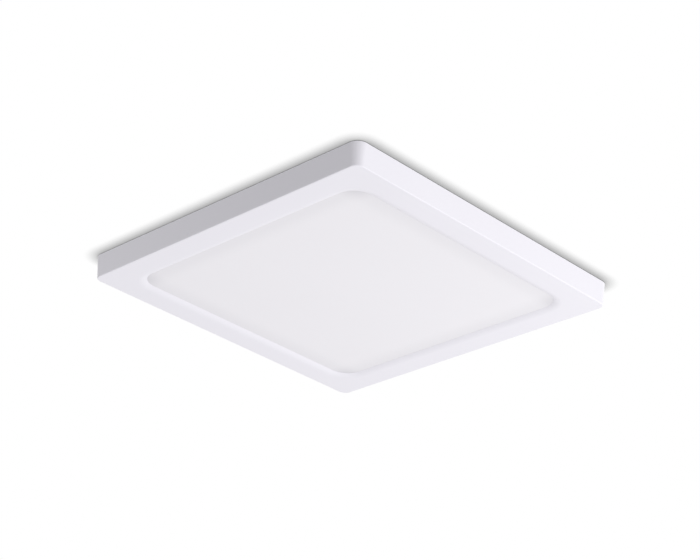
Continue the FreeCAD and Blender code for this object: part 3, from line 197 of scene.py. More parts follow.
class DownlightStage(bpy.types.PropertyGroup):
    """Ceiling, light and camera."""

    shade_colour: colour("Contact shade", "Ceiling in the deepest shade", (0.10, 0.10, 0.104))
    shade_reach: length("Shade reach", "How far the contact shade reaches", 0.0095)
    shade_fall: level("Shade fall", "How soon the contact shade sets in", 1.6)
    ceiling_width: length("Ceiling width", "Width of the ceiling", 6.0)
    ceiling_gap: length("Ceiling gap", "Seam between the frame and the ceiling", 0.0003)
    ambient: level("Ambient", "Soft light from all around", 0.819)
    ambient_colour: colour("Ambient colour", "Colour of the soft light", (0.985, 0.975, 1.0))
    ambient_lean: vector("Ambient lean", "Side that more of the soft light comes from",
                         (0.015, -0.262, 0.0), "XYZ")
    card_way: vector("Card way", "Side where a dark card keeps the soft light off",
                     (-1.0, 0.32, 0.7), "DIRECTION")
    card_depth: level("Card depth", "Share of the soft light that the dark card keeps off", 0.98)
    card_start: level("Card start", "Cosine of the angle at which the dark card starts", 0.45)
    card_full: level("Card full", "Cosine of the angle at which the dark card is full", 0.85)
    lamp_width: length("Lamp width", "Width of the key lamp and the back lamp", 0.4)
    key_power: level("Key power", "Power of the soft lamp below on the right, in watts", 1.12)
    key_place: vector("Key place", "Place of the key lamp", (0.35, -0.40, -0.45), "TRANSLATION")
    back_power: level("Back power", "Power of the soft lamp above the back, in watts", 6.0)
    back_place: vector("Back place", "Place of the back lamp", (0.70, 0.60, 1.10), "TRANSLATION")
    side_power: level("Side power", "Power of the weak lamp beside the left corner, in watts", 0.16)
    side_width: length("Side width", "Width of the lamp beside the left corner", 0.15)
    side_place: vector("Side place", "Place of the lamp beside the left corner",
                       (-0.40, 0.34, -0.03), "TRANSLATION")
    camera_place: vector("Camera place", "Place of the camera", (-0.7465, -0.7449, -0.5378),
                         "TRANSLATION")
    camera_aim: vector("Camera aim", "Direction that the camera looks in", (0.63182, 0.63106, 0.45007),
                       "DIRECTION")
    camera_roll: angle("Camera roll", "Turn of the camera about its aim", 3.06)
    focal_length: lens_length("Focal length", "Focal length of the lens", 98.78)
    sensor_width: lens_length("Sensor width", "Width of the sensor", 36)


class Wire:
    """One output of a node, with Python's operators for shader maths on values."""

    def __init__(self, nodes, socket):
        self.nodes = nodes
        self.socket = socket

    def __add__(self, other):
        return self.nodes.math("ADD", self, other)

    def __sub__(self, other):
        return self.nodes.math("SUBTRACT", self, other)

    def __rsub__(self, other):
        return self.nodes.math("SUBTRACT", other, self)

    def __mul__(self, other):
        return self.nodes.math("MULTIPLY", self, other)

    def __truediv__(self, other):
        return self.nodes.math("DIVIDE", self, other)

    def __pow__(self, other):
        return self.nodes.math("POWER", self, other)

    def __gt__(self, other):
        return self.nodes.math("GREATER_THAN", self, other)

    def __abs__(self):
        return self.nodes.math("ABSOLUTE", self)

    __radd__ = __add__
    __rmul__ = __mul__


class NodeTree:
    """A node tree that is filled through one method."""

    def __init__(self, tree):
        self.tree = tree

    def node(self, kind, settings=None, inputs=None, output=0):
        """Add a node, set its settings, fill its inputs and return one of its outputs."""
        made = self.tree.nodes.new("ShaderNode" + kind)
        for name, value in (settings or {}).items():
            setattr(made, name, value)
        for name, value in (inputs or {}).items():
            self.feed(made.inputs[name], value)
        return Wire(self, made.outputs[output])

    def feed(self, socket, value):
        """Link a wire to a socket, or set the socket to a plain value."""
        if isinstance(value, Wire):
            self.tree.links.new(value.socket, socket)
        else:
            socket.default_value = value

    def math(self, operation, *values):
        """One Math node on one or two values."""
        return self.node("Math", {"operation": operation}, dict(enumerate(values)))

    def mix(self, factor, first, second):
        """A colour between two colours."""
        inputs = {"Factor": factor, MIX_FIRST: opaque(first), MIX_SECOND: opaque(second)}
        return self.node("Mix", {"data_type": "RGBA"}, inputs, MIX_RESULT)

    def ease(self, value, start, end):
        """A smooth step from 0 to 1 between two values."""
        inputs = {"Value": value, "From Min": start, "From Max": end}
        return self.node("MapRange", {"interpolation_type": "SMOOTHSTEP"}, inputs)


class Finish(NodeTree):
    """A node material around one Principled shader."""

    def __init__(self, name, base, metallic=0.0):
        self.material = bpy.data.materials.new(name)
        self.material.use_nodes = True
        self.material.diffuse_color = opaque(base)
        super().__init__(self.material.node_tree)
        self.shader = self.tree.nodes["Principled BSDF"].inputs
        self.base = tuple(base)
        self.spot = self.node("TexCoord", output="Object")
        self.set("Metallic", metallic)

    def set(self, socket, value):
        """Feed one socket of the shader."""
        self.feed(self.shader[socket], value)

    def stretched(self, scale):
        """The place on the object, stretched by a factor along each axis."""
        return self.node("VectorMath", {"operation": "MULTIPLY"}, {0: self.spot, 1: scale})

    def noise(self, scale, detail, spot=None):
        """Soft noise from 0 to 1, with its grain per metre."""
        inputs = {"Vector": spot or self.spot, "Scale": scale, "Detail": detail}
        return self.node("TexNoise", None, inputs)

    def cells(self, scale, output="Distance"):
        """Cells of a Voronoi pattern, with their number per metre."""
        return self.node("TexVoronoi", None, {"Vector": self.spot, "Scale": scale}, output)

    def axes(self):
        """The three coordinates of the place on the object."""
        parts = self.node("SeparateXYZ", None, {0: self.spot}).socket.node
        return [Wire(self, socket) for socket in parts.outputs]

    def shaded(self, factor, low, high):
        """The base colour, darkened or lightened between two levels."""
        darkest, lightest = [[min(share * part, 1) for part in self.base] for share in (low, high)]
        return self.mix(factor, darkest, lightest)

    def bump(self, height, depth):
        """Raise the surface by a pattern, with its depth in metres."""
        self.set("Normal", self.node("Bump", None, {"Height": height, "Distance": depth}))


def opaque(shade):
    """A colour with full alpha, or a wire as it is."""
    return shade if isinstance(shade, Wire) else (*shade[:3], 1.0)


# Finishes of the light panel
def enamel(colours):
    """Sprayed white paint with a fine orange peel."""
    finish = Finish("white_enamel", colours.enamel)
    peel = finish.noise(scale=520, detail=3)
    cloud = finish.noise(scale=24, detail=4)
    finish.set("Base Color", finish.shaded(cloud, low=0.985, high=1.01))
    finish.set("Roughness", 0.36 + 0.1 * cloud + 0.05 * peel)
    finish.bump(peel, depth=0.000012)
    return finish.material


def opal_acrylic(colours, opening):
    """Frosted opal sheet with painted shade along its edges beside the rim, and more painted shade in the corners
    of the opening.
    """
    edge_start = 0.82 * opening
    edge_shade_share = 0.2
    corner_shade_share = 0.42
    finish = Finish("opal_acrylic", colours.opal)
    x, y, _ = finish.axes()
    shade_x, shade_y = [finish.ease(abs(way), edge_start, opening) for way in (x, y)]
    # Painted shade: darker towards the rim on each side, and darker still where two sides meet in a corner
    edge = edge_shade_share * (shade_x + shade_y) + corner_shade_share * shade_x * shade_y
    frost = finish.noise(scale=2600, detail=2)
    cloud = finish.noise(scale=16, detail=3)
    plain = finish.shaded(cloud, low=0.99, high=1.008)
    finish.set("Base Color", finish.mix(edge, plain, colours.opal_painted_shade))
    finish.set("Roughness", 0.44 + 0.12 * frost)
    finish.bump(frost, depth=0.00001)
    return finish.material


def printed_guide(colours):
    """Clear sheet with a grid of printed dots."""
    finish = Finish("printed_guide", colours.guide)
    dots = finish.cells(scale=420)
    printed = finish.ease(dots, start=0.34, end=0.28)
    finish.set("Base Color", finish.mix(printed, colours.guide, colours.film))
    finish.set("Roughness", 0.06 + 0.5 * printed)
    finish.set("Coat Weight", 0.4)
    return finish.material


def white_film(colours):
    """Matt reflector film."""
    finish = Finish("white_film", colours.film)
    grain = finish.noise(scale=900, detail=3)
    finish.set("Base Color", finish.shaded(grain, low=0.97, high=1.0))
    finish.set("Roughness", 0.6 + 0.2 * grain)
    finish.bump(grain, depth=0.00001)
    return finish.material


def open_foam(colours):
    """Grey foam with open cells."""
    finish = Finish("open_foam", colours.foam)
    pores = finish.cells(scale=1400)
    finish.set("Base Color", finish.shaded(pores, low=0.55, high=1.35))
    finish.set("Roughness", 0.85 + 0.15 * pores)
    finish.bump(pores, depth=0.0002)
    return finish.material


def rolled_plate(colours):
    """Rolled aluminium with long streaks along the plate."""
    finish = Finish("rolled_plate", colours.plate, metallic=1.0)
    streaks = finish.noise(scale=1, detail=4, spot=finish.stretched((9, 620, 620)))
    cloud = finish.noise(scale=18, detail=4)
    finish.set("Base Color", finish.shaded(0.55 * streaks + 0.45 * cloud, low=0.84, high=1.12))
    finish.set("Roughness", 0.26 + 0.16 * streaks + 0.10 * cloud)
    finish.bump(streaks, depth=0.000012)
    return finish.material


def strip_board(colours):
    """White solder mask with tinned pads in a row."""
    finish = Finish("strip_board", colours.strip_board)
    grain = finish.noise(scale=700, detail=2)
    pads = finish.ease(finish.cells(scale=260), start=0.16, end=0.12)
    finish.set("Base Color", finish.mix(pads, finish.shaded(grain, low=0.94, high=1.03), colours.tin))
    finish.set("Metallic", pads)
    finish.set("Roughness", 0.34 + 0.12 * grain)
    return finish.material


def phosphor(colours):
    """Yellow phosphor in a clear drop."""
    finish = Finish("phosphor", colours.phosphor)
    grain = finish.noise(scale=3200, detail=2)
    finish.set("Base Color", finish.shaded(grain, low=0.82, high=1.12))
    finish.set("Roughness", 0.2 + 0.15 * grain)
    finish.set("Coat Weight", 0.6)
    return finish.material


# Finishes of the clips
def zinc(colours):
    """Zinc plating with faint crystals and fine scuffs along the rails."""
    finish = Finish("zinc_plating", colours.zinc, metallic=1.0)
    crystal = finish.node("SeparateColor", None, {0: finish.cells(scale=1300, output="Color")})
    scuffs = finish.noise(scale=1, detail=4, spot=finish.stretched((40, 1500, 1500)))
    finish.set("Base Color", finish.shaded(0.4 * crystal + 0.6 * scuffs, low=0.88, high=1.10))
    finish.set("Roughness", 0.26 + 0.08 * crystal + 0.14 * scuffs)
    finish.bump(scuffs, depth=0.000012)
    return finish.material


def hardened_strip(colours):
    """Hardened strip steel, brushed along the arm."""
    finish = Finish("hardened_strip", colours.strip_steel, metallic=1.0)
    brushed = finish.noise(scale=1, detail=5, spot=finish.stretched((30, 2600, 2600)))
    cloud = finish.noise(scale=60, detail=3)
    finish.set("Base Color", finish.shaded(0.5 * brushed + 0.5 * cloud, low=0.78, high=1.2))
    finish.set("Roughness", 0.22 + 0.2 * brushed)
    finish.bump(brushed, depth=0.000015)
    return finish.material


def drawn_wire(colours):
    """Oiled spring wire with fine drawing marks."""
    finish = Finish("drawn_wire", colours.wire_steel, metallic=1.0)
    marks = finish.noise(scale=2400, detail=4)
    finish.set("Base Color", finish.shaded(marks, low=0.75, high=1.25))
    finish.set("Roughness", 0.2 + 0.18 * marks)
    finish.bump(marks, depth=0.00001)
    return finish.material


def moulded(name, base, roughness=0.46):
    """Moulded plastic with a spark-eroded grain."""
    finish = Finish(name, base)
    grain = finish.noise(scale=1900, detail=3)
    flow = finish.noise(scale=70, detail=3)
    finish.set("Base Color", finish.shaded(0.4 * grain + 0.6 * flow, low=0.955, high=1.035))
    finish.set("Roughness", roughness - 0.08 + 0.16 * grain)
    finish.bump(grain, depth=0.00003)
    return finish.material


def soft_rubber(name, base, dust_colour, roughness):
    """Rubber with a fine skin and a little dust."""
    finish = Finish(name, base)
    skin = finish.noise(scale=1500, detail=4)
    dust = finish.ease(finish.noise(scale=140, detail=5), start=0.5, end=0.75)
    clean = finish.shaded(skin, low=0.9, high=1.1)
    finish.set("Base Color", finish.mix(0.35 * dust, clean, dust_colour))
    finish.set("Roughness", roughness - 0.08 + 0.2 * skin)
    finish.bump(skin, depth=0.00004)
    return finish.material


# Finishes of the driver
def solder_mask(colours):
    """Green board with paler tracks and tinned pads."""
    bend_reach = 0.0016
    cross_pitch = 0.0011
    cross_gap = 0.0008
    long_pitch = 0.0027
    long_gap = 0.0024
    finish = Finish("solder_mask", colours.board)
    x, y, _ = finish.axes()
    bend = bend_reach * finish.noise(scale=120, detail=1)
    across = finish.math("PINGPONG", x + bend, cross_pitch)
    along = finish.math("PINGPONG", y + bend, long_pitch)
    tracks = finish.math("MAXIMUM", across > cross_gap, along > long_gap)
    pads = finish.ease(finish.cells(scale=340), start=0.15, end=0.11)
    mask = finish.shaded(tracks, low=1.0, high=1.9)
    finish.set("Base Color", finish.mix(pads, mask, colours.tin))
    finish.set("Metallic", pads)
    finish.set("Roughness", 0.3 + 0.15 * finish.noise(scale=800, detail=2))
    finish.bump(tracks + pads, depth=0.00003)
    return finish.material


def sintered(colours):
    """Sintered core with pale specks."""
    finish = Finish("sintered_core", colours.ferrite)
    specks = finish.ease(finish.noise(scale=2600, detail=4), start=0.55, end=0.75)
    finish.set("Base Color", finish.shaded(specks, low=0.85, high=2.2))
    finish.set("Roughness", 0.68 - 0.25 * specks)
    finish.bump(specks, depth=0.00003)
    return finish.material


def wound_tape(colours):
    """Layers of polyester tape around the winding."""
    lap_width = 0.0009
    lap_wave = 0.0001
    finish = Finish("wound_tape", colours.tape)
    _, _, z = finish.axes()
    wavy = z + lap_wave * finish.noise(scale=300, detail=2)
    laps = finish.math("PINGPONG", wavy, lap_width) / lap_width
    finish.set("Base Color", finish.shaded(laps, low=0.72, high=1.12))
    finish.set("Roughness", 0.16 + 0.2 * finish.noise(scale=500, detail=3))
    finish.bump(laps, depth=0.00006)
    finish.set("Coat Weight", 0.3)
    return finish.material


def shrink_sleeve(colours, node):
    """Shrink sleeve with a pale stripe down one side and the bare end of the can on top."""
    end_depth = 0.0002
    stripe_drop = 0.001
    stripe_from = 0.9
    low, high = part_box(node)
    middle = (low + high) / 2
    radius = (high.x - low.x) / 2
    finish = Finish("shrink_sleeve_" + node, colours.shrink)
    x, y, z = finish.axes()
    x = (x - middle.x) / radius
    y = (y - middle.y) / radius
    away = (x * x + y * y) ** 0.5
    top = (z > high.z - end_depth) * (1 - finish.ease(away, start=0.72, end=0.76))
    stripe = (x > stripe_from) * (1 - (z > high.z - stripe_drop))
    wrinkle = finish.noise(scale=900, detail=3)
    sleeve = finish.mix(stripe, finish.shaded(wrinkle, low=0.85, high=1.3), colours.strip_board)
    finish.set("Base Color", finish.mix(top, sleeve, colours.plate))
    finish.set("Metallic", top)
    finish.set("Roughness", 0.2 + 0.14 * wrinkle)
    finish.bump(wrinkle, depth=0.00003)
    return finish.material


def fuse_tube(colours):
    """Ceramic tube with a metal cap on each end."""
    cap_length = 0.0025
    _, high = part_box("fuse")
    finish = Finish("fuse_tube", colours.tube)
    x, _, _ = finish.axes()
    caps = abs(x) > high.x - cap_length
    grain = finish.noise(scale=900, detail=3)
    finish.set("Base Color", finish.mix(caps, finish.shaded(grain, low=0.93, high=1.05), colours.tin))
    finish.set("Metallic", caps)
    finish.set("Roughness", 0.26 + 0.14 * grain)
    finish.bump(grain, depth=0.00001)
    return finish.material


# Modelling helpers
def new_mesh(name, shape):
    """A smooth-shaded object at the origin from a bmesh, with its hard edges marked."""
    mesh = bpy.data.meshes.new(name)
    for face in shape.faces:
        face.smooth = True
    for edge in shape.edges:
        edge.smooth = edge.calc_face_angle(0) < SMOOTH_LIMIT
    shape.to_mesh(mesh)
    shape.free()
    piece = bpy.data.objects.new(name, mesh)
    bpy.context.scene.collection.objects.link(piece)
    flats = piece.modifiers.new("flat faces stay flat", "WEIGHTED_NORMAL")
    flats.keep_sharp = True
    return piece


def take_over(piece, node, material):
    """Hide a node and give the piece that stands for it a finish."""
    piece.data.materials.append(material)
    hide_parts(node)


def stand_for(piece, node, material):
    """Let a piece take a node's place and move with the node's body."""
    take_over(piece, node, material)
    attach(piece, BODY_OF[node])


def paint(node, material):
    """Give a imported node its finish."""
    slots = NODES[node].data.materials
    slots.clear()
    slots.append(material)


def bevel(shape, edges, width, steps):
    """Round some edges of a bmesh."""
    bmesh.ops.bevel(shape, geom=edges, offset=width, offset_type="OFFSET", segments=steps,
                    profile=0.5, affect="EDGES", clamp_overlap=True, material=-1)


def soften(node, material, width, steps=PLAIN_STEPS):
    """A copy of a node with its hard edges rounded, in the node's place."""
    shape = bmesh.new()
    shape.from_mesh(NODES[node].data)
    bmesh.ops.remove_doubles(shape, verts=shape.verts[:], dist=WELD)
    bmesh.ops.dissolve_limit(shape, angle_limit=FLAT_LIMIT, verts=shape.verts[:], edges=shape.edges[:])
    hard = [edge for edge in shape.edges if edge.calc_face_angle(0) > SMOOTH_LIMIT]
    bevel(shape, hard, width, steps)
    piece = new_mesh("soft_" + node, shape)
    stand_for(piece, node, material)
    return piece


def opening_half(sizes):
    """Half the width of the opening, which the rim leaves free over the diffuser."""
    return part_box("diffuser")[1].x - sizes.rim_overlap


def round_loop(shape, half, radius, height, steps):
    """One closed loop of edges: a square with round corners at a height."""
    made = bmesh.ops.create_grid(shape, x_segments=1, y_segments=1, size=half,
                                 matrix=Matrix.Translation((0, 0, height)))
    face = made["verts"][0].link_faces[0]
    bmesh.ops.bevel(shape, geom=made["verts"], offset=radius, offset_type="OFFSET", segments=steps,
                    profile=0.5, affect="VERTICES", clamp_overlap=False, material=-1)
    edges = face.edges[:] if face.is_valid else [edge for edge in shape.edges if edge.is_boundary]
    bmesh.ops.delete(shape, geom=[edges[0].link_faces[0]], context="FACES_ONLY")
    return edges


def closed_ring(shape, outline, steps):
    """A closed ring through square loops, given as half width, corner radius and height.

    The loops are bridged while they stand one unit apart, and then each one moves to its own height.
    """
    loops = [round_loop(shape, half, radius, place, steps)
             for place, (half, radius, _) in enumerate(outline)]
    for first, second in zip(loops, loops[1:] + loops[:1]):
        bmesh.ops.bridge_loops(shape, edges=first + second)
    for place, (_, _, height) in enumerate(outline):
        corners = {vert for edge in loops[place] for vert in edge.verts}
        bmesh.ops.translate(shape, verts=list(corners), vec=(0, 0, height - place))
    return loops


def tube(shape, middle, inner, outer, low, high, steps):
    """An upright tube around a place, spun from one rectangle."""
    corner = Matrix.Translation((middle.x + (inner + outer) / 2, middle.y, (low + high) / 2))
    size = Matrix.Diagonal(((outer - inner) / 2, 1, (high - low) / 2, 1))
    upright = size @ Matrix.Rotation(math.pi / 2, 4, "X")
    made = bmesh.ops.create_grid(shape, x_segments=1, y_segments=1, size=1, matrix=corner @ upright)
    edges = list({edge for vert in made["verts"] for edge in vert.link_edges})
    bmesh.ops.delete(shape, geom=made["verts"][0].link_faces[:], context="FACES_ONLY")
    bmesh.ops.spin(shape, geom=edges, cent=middle, axis=(0, 0, 1), angle=2 * math.pi, steps=steps,
                   use_merge=True)


class DOWNLIGHT_OT_front_frame(bpy.types.Operator):
    """Build the frame: leaning walls, a flat rim and a rounded lip around the opening"""

    bl_idname = "downlight.front_frame"
    bl_label = "Front frame"

    def execute(self, context):
        sizes = context.scene.downlight_sizes
        low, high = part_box("front_frame")
        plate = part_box("back_plate")[0].z
        lean = (high.z - low.z) * math.tan(sizes.side_draft)
        foot = high.x - lean
        cavity = foot - sizes.frame_wall
        seat = low.z + sizes.rim_thickness
        inner_radius = sizes.corner_radius - lean - sizes.frame_wall
        lip = self.lip_outline(sizes, low.z)
        shape = bmesh.new()
        outline = (
            (high.x, sizes.corner_radius, high.z),
            (foot, sizes.corner_radius - lean, low.z),
            *lip,
            (lip[-1][0], lip[-1][1], seat),
            (cavity, inner_radius, seat),
            (cavity, inner_radius, high.z),
        )
        loops = closed_ring(shape, outline, sizes.corner_steps)
        bevel(shape, loops[1], sizes.edge_round, sizes.round_steps)
        bevel(shape, loops[0] + loops[-1], sizes.back_round, PLAIN_STEPS)
        self.add_ridge(shape, sizes, seat, plate, cavity)
        bmesh.ops.recalc_face_normals(shape, faces=shape.faces[:])
        paint_coat = enamel(context.scene.downlight_colours)
        stand_for(new_mesh("frame_shell", shape), "front_frame", paint_coat)
        return {"FINISHED"}

    def lip_outline(self, sizes, floor):
        """Loops along the lip's arc, from the flat rim up to the upright land."""
        opening = opening_half(sizes)
        steepest = math.acos(1 - (sizes.rim_thickness - sizes.lip_land) / sizes.lip_round)
        reach = sizes.lip_round * math.sin(steepest)
        loops = []
        for step in range(sizes.round_steps + 1):
            slope = steepest * step / sizes.round_steps
            back = reach - sizes.lip_round * math.sin(slope)
            rise = sizes.lip_round * (1 - math.cos(slope))
            loops.append((opening + back, sizes.opening_radius + back, floor + rise))
        return loops

    def add_ridge(self, shape, sizes, seat, plate, cavity):
        """The ridge behind the light strip, with the bosses and ribs that carry the plate."""
        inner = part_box("led_strip")[1].x
        outer = inner + sizes.ridge_thickness
        inner_corner = sizes.strip_corner
        outer_corner = inner_corner + sizes.ridge_thickness
        outline = (
            (outer, outer_corner, seat),
            (outer, outer_corner, plate),
            (inner, inner_corner, plate),
            (inner, inner_corner, seat),
        )
        closed_ring(shape, outline, sizes.corner_steps)
        middle = (outer + cavity) / 2
        for quarter in range(4):
            turn = Matrix.Rotation(quarter * math.pi / 2, 4, "Z")
            for spread in (sizes.screw_spread, -sizes.screw_spread):
                place = turn @ Matrix.Translation((middle, spread, 0))
                tube(shape, place.translation, sizes.boss_bore / 2, sizes.boss_diameter / 2,
                     seat, plate, sizes.boss_steps)
                self.add_ribs(shape, sizes, place, cavity - outer, seat, plate)

    def add_ribs(self, shape, sizes, place, reach, seat, plate):
        """Two upright ribs, from a boss to the ridge and to the side wall."""
        bore = sizes.boss_bore / 2
        run = reach / 2 - bore
        height = plate - sizes.rib_drop - seat
        for side in (1, -1):
            middle = Matrix.Translation((side * (bore + run / 2), 0, seat + height / 2))
            size = Matrix.Diagonal((run, sizes.rib_thickness, height, 1))
            bmesh.ops.create_cube(shape, size=1, matrix=place @ middle @ size)


class DOWNLIGHT_OT_light_stack(bpy.types.Operator):
    """Finish the diffuser, the guide, the reflector, the foam and the light strip"""

    bl_idname = "downlight.light_stack"
    bl_label = "Light stack"

    def execute(self, context):
        sizes = context.scene.downlight_sizes
        colours = context.scene.downlight_colours
        paint("diffuser", opal_acrylic(colours, opening_half(sizes)))
        paint("light_guide", printed_guide(colours))
        paint("reflector_sheet", white_film(colours))
        paint("led_strip", strip_board(colours))
        paint("led_chips", phosphor(colours))
        soften("foam_pad", open_foam(colours), sizes.fine_round)
        return {"FINISHED"}


class DOWNLIGHT_OT_back_plate(bpy.types.Operator):
    """Finish the back plate, its screws and the rivets"""

    bl_idname = "downlight.back_plate"
    bl_label = "Back plate"

    def execute(self, context):
        sizes = context.scene.downlight_sizes
        colours = context.scene.downlight_colours
        soften("back_plate", rolled_plate(colours), sizes.plate_round)
        plated = zinc(colours)
        for held in ("plate", "driver", "cover", "board", "clamp"):
            soften(held + "_screws", plated, sizes.fine_round)
        soften("rail_rivets", plated, sizes.rivet_round)
        return {"FINISHED"}


class DOWNLIGHT_OT_clips(bpy.types.Operator):
    """Round and finish the rails, carriages, pins, arms and sleeves of both clips"""

    bl_idname = "downlight.clips"
    bl_label = "Clips"

    def execute(self, context):
        sizes = context.scene.downlight_sizes
        colours = context.scene.downlight_colours
        plated = zinc(colours)
        strip = hardened_strip(colours)
        carriage = moulded("carriage_plastic", colours.carriage)
        sleeve = soft_rubber("milky_sleeve", colours.sleeve, colours.dust, roughness=0.6)
        for side in SIDES:
            soften("clip_rail_" + side, plated, sizes.rail_round, FINE_STEPS)
            soften("clip_pin_" + side, plated, sizes.fine_round)
            soften("clip_arm_" + side, strip, sizes.fine_round)
            soften("clip_carriage_" + side, carriage, sizes.part_round, FINE_STEPS)
            soften("clip_sleeve_" + side, sleeve, sizes.part_round, FINE_STEPS)
        return {"FINISHED"}


class DOWNLIGHT_OT_springs(bpy.types.Operator):
    """Wind the torsion spring of each clip around its pivot pin"""

    bl_idname = "downlight.springs"
    bl_label = "Clip springs"

    def execute(self, context):
        sizes = context.scene.downlight_sizes
        wire = drawn_wire(context.scene.downlight_colours)
        pivot = Vector(JOINT_OF["right_arm"]["pos_m"])
        for side, turn in zip(SIDES, (0, math.pi)):
            around = Matrix.Rotation(turn, 3, "Z")
            shape = self.wound(sizes, pivot)
            bmesh.ops.rotate(shape, verts=shape.verts[:], cent=(0, 0, 0), matrix=around)
            spring = new_mesh("wound_spring_" + side, shape)
            take_over(spring, "clip_spring_" + side, wire)
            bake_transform(spring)
        return {"FINISHED"}

    def wound(self, sizes, pivot):
        """A bmesh of one spring: leg, turns, leg."""
        steps = sizes.spring_turns * sizes.turn_steps
        width = sizes.spring_turns * sizes.spring_pitch
        leg = Vector((sizes.spring_leg, 0, 0))
        foot = pivot - Vector((0, width / 2, sizes.spring_radius))
        shape = bmesh.new()
        upright = Matrix.Translation(foot - leg) @ Matrix.Rotation(math.pi / 2, 4, "Y")
        ring = bmesh.ops.create_circle(shape, segments=sizes.wire_steps, radius=sizes.spring_wire / 2,
                                       matrix=upright)
        edges = list({edge for vert in ring["verts"] for edge in vert.link_edges})
        edges = self.run(shape, edges, leg)
        turned = bmesh.ops.spin(shape, geom=edges, cent=pivot, axis=(0, -1, 0),
                                dvec=(0, width / steps, 0), angle=2 * math.pi * sizes.spring_turns,
                                steps=steps, use_merge=False)
        edges = [part for part in turned["geom_last"] if isinstance(part, bmesh.types.BMEdge)]
        self.run(shape, edges, leg)
        bmesh.ops.remove_doubles(shape, verts=shape.verts[:], dist=WELD)
        open_ends = [edge for edge in shape.edges if edge.is_boundary]
        bmesh.ops.holes_fill(shape, edges=open_ends, sides=0)
        bmesh.ops.recalc_face_normals(shape, faces=shape.faces[:])
        return shape

    def run(self, shape, edges, leg):
        """Draw a ring of edges out along a straight leg."""
        drawn = bmesh.ops.extrude_edge_only(shape, edges=edges)["geom"]
        tips = [part for part in drawn if isinstance(part, bmesh.types.BMVert)]
        bmesh.ops.translate(shape, verts=tips, vec=leg)
        return [part for part in drawn if isinstance(part, bmesh.types.BMEdge)
                and all(vert in tips for vert in part.verts)]


class DOWNLIGHT_OT_driver_box(bpy.types.Operator):
    """Round and finish the driver box, its cover, its hinged lid and the cable entry"""

    bl_idname = "downlight.driver_box"
    bl_label = "Driver box"

    def execute(self, context):
        sizes = context.scene.downlight_sizes
        colours = context.scene.downlight_colours
        housing = moulded("housing_plastic", colours.housing)
        rubber = soft_rubber("black_rubber", colours.rubber, colours.dust, roughness=0.62)
        for node in ("driver_base", "driver_cover", "terminal_lid"):
            soften(node, housing, sizes.part_round, FINE_STEPS)
        soften("lid_pin", zinc(colours), sizes.fine_round)
        soften("cable_grommet", rubber, sizes.grommet_round, FINE_STEPS)
        soften("cable_clamp", moulded("clamp_plastic", colours.terminal), sizes.fine_round)
        return {"FINISHED"}


class DOWNLIGHT_OT_electronics(bpy.types.Operator):
    """Finish the circuit board, its parts and the mains terminal"""

    bl_idname = "downlight.electronics"
    bl_label = "Electronics"

    def execute(self, context):
        sizes = context.scene.downlight_sizes
        colours = context.scene.downlight_colours
        paint("driver_board", solder_mask(colours))
        core = sintered(colours)
        soften("transformer_core", core, sizes.part_round)
        soften("choke", core, sizes.fine_round)
        soften("transformer_winding", wound_tape(colours), sizes.part_round)
        for node in ("input_capacitor", "output_capacitor"):
            soften(node, shrink_sleeve(colours, node), sizes.fine_round)
        soften("fuse", fuse_tube(colours), sizes.fine_round)
        plastic = moulded("terminal_plastic", colours.terminal)
        soften("output_connector", plastic, sizes.part_round)
        soften("terminal_block", plastic, sizes.fine_round)
        button = moulded("button_plastic", colours.button, roughness=0.36)
        for pole in ("live", "neutral"):
            soften("release_button_" + pole, button, sizes.fine_round)
        return {"FINISHED"}


# Ceiling, light and camera
def facing(nodes, way):
    """How far the direction of a ray points along a vector."""
    ray = nodes.node("TexCoord", output="Generated")
    return nodes.node("VectorMath", {"operation": "DOT_PRODUCT"}, {0: ray, 1: way}, "Value")


def seen_directly(nodes):
    """1 for rays from the camera and for rays in mirrors and glass, and 0 for light that bounces."""
    paths = nodes.node("LightPath").socket.node.outputs
    eye, gloss, glass = [Wire(nodes, paths[name]) for name in
                         ("Is Camera Ray", "Is Glossy Ray", "Is Transmission Ray")]
    return nodes.math("MINIMUM", eye + gloss + glass, 1.0)


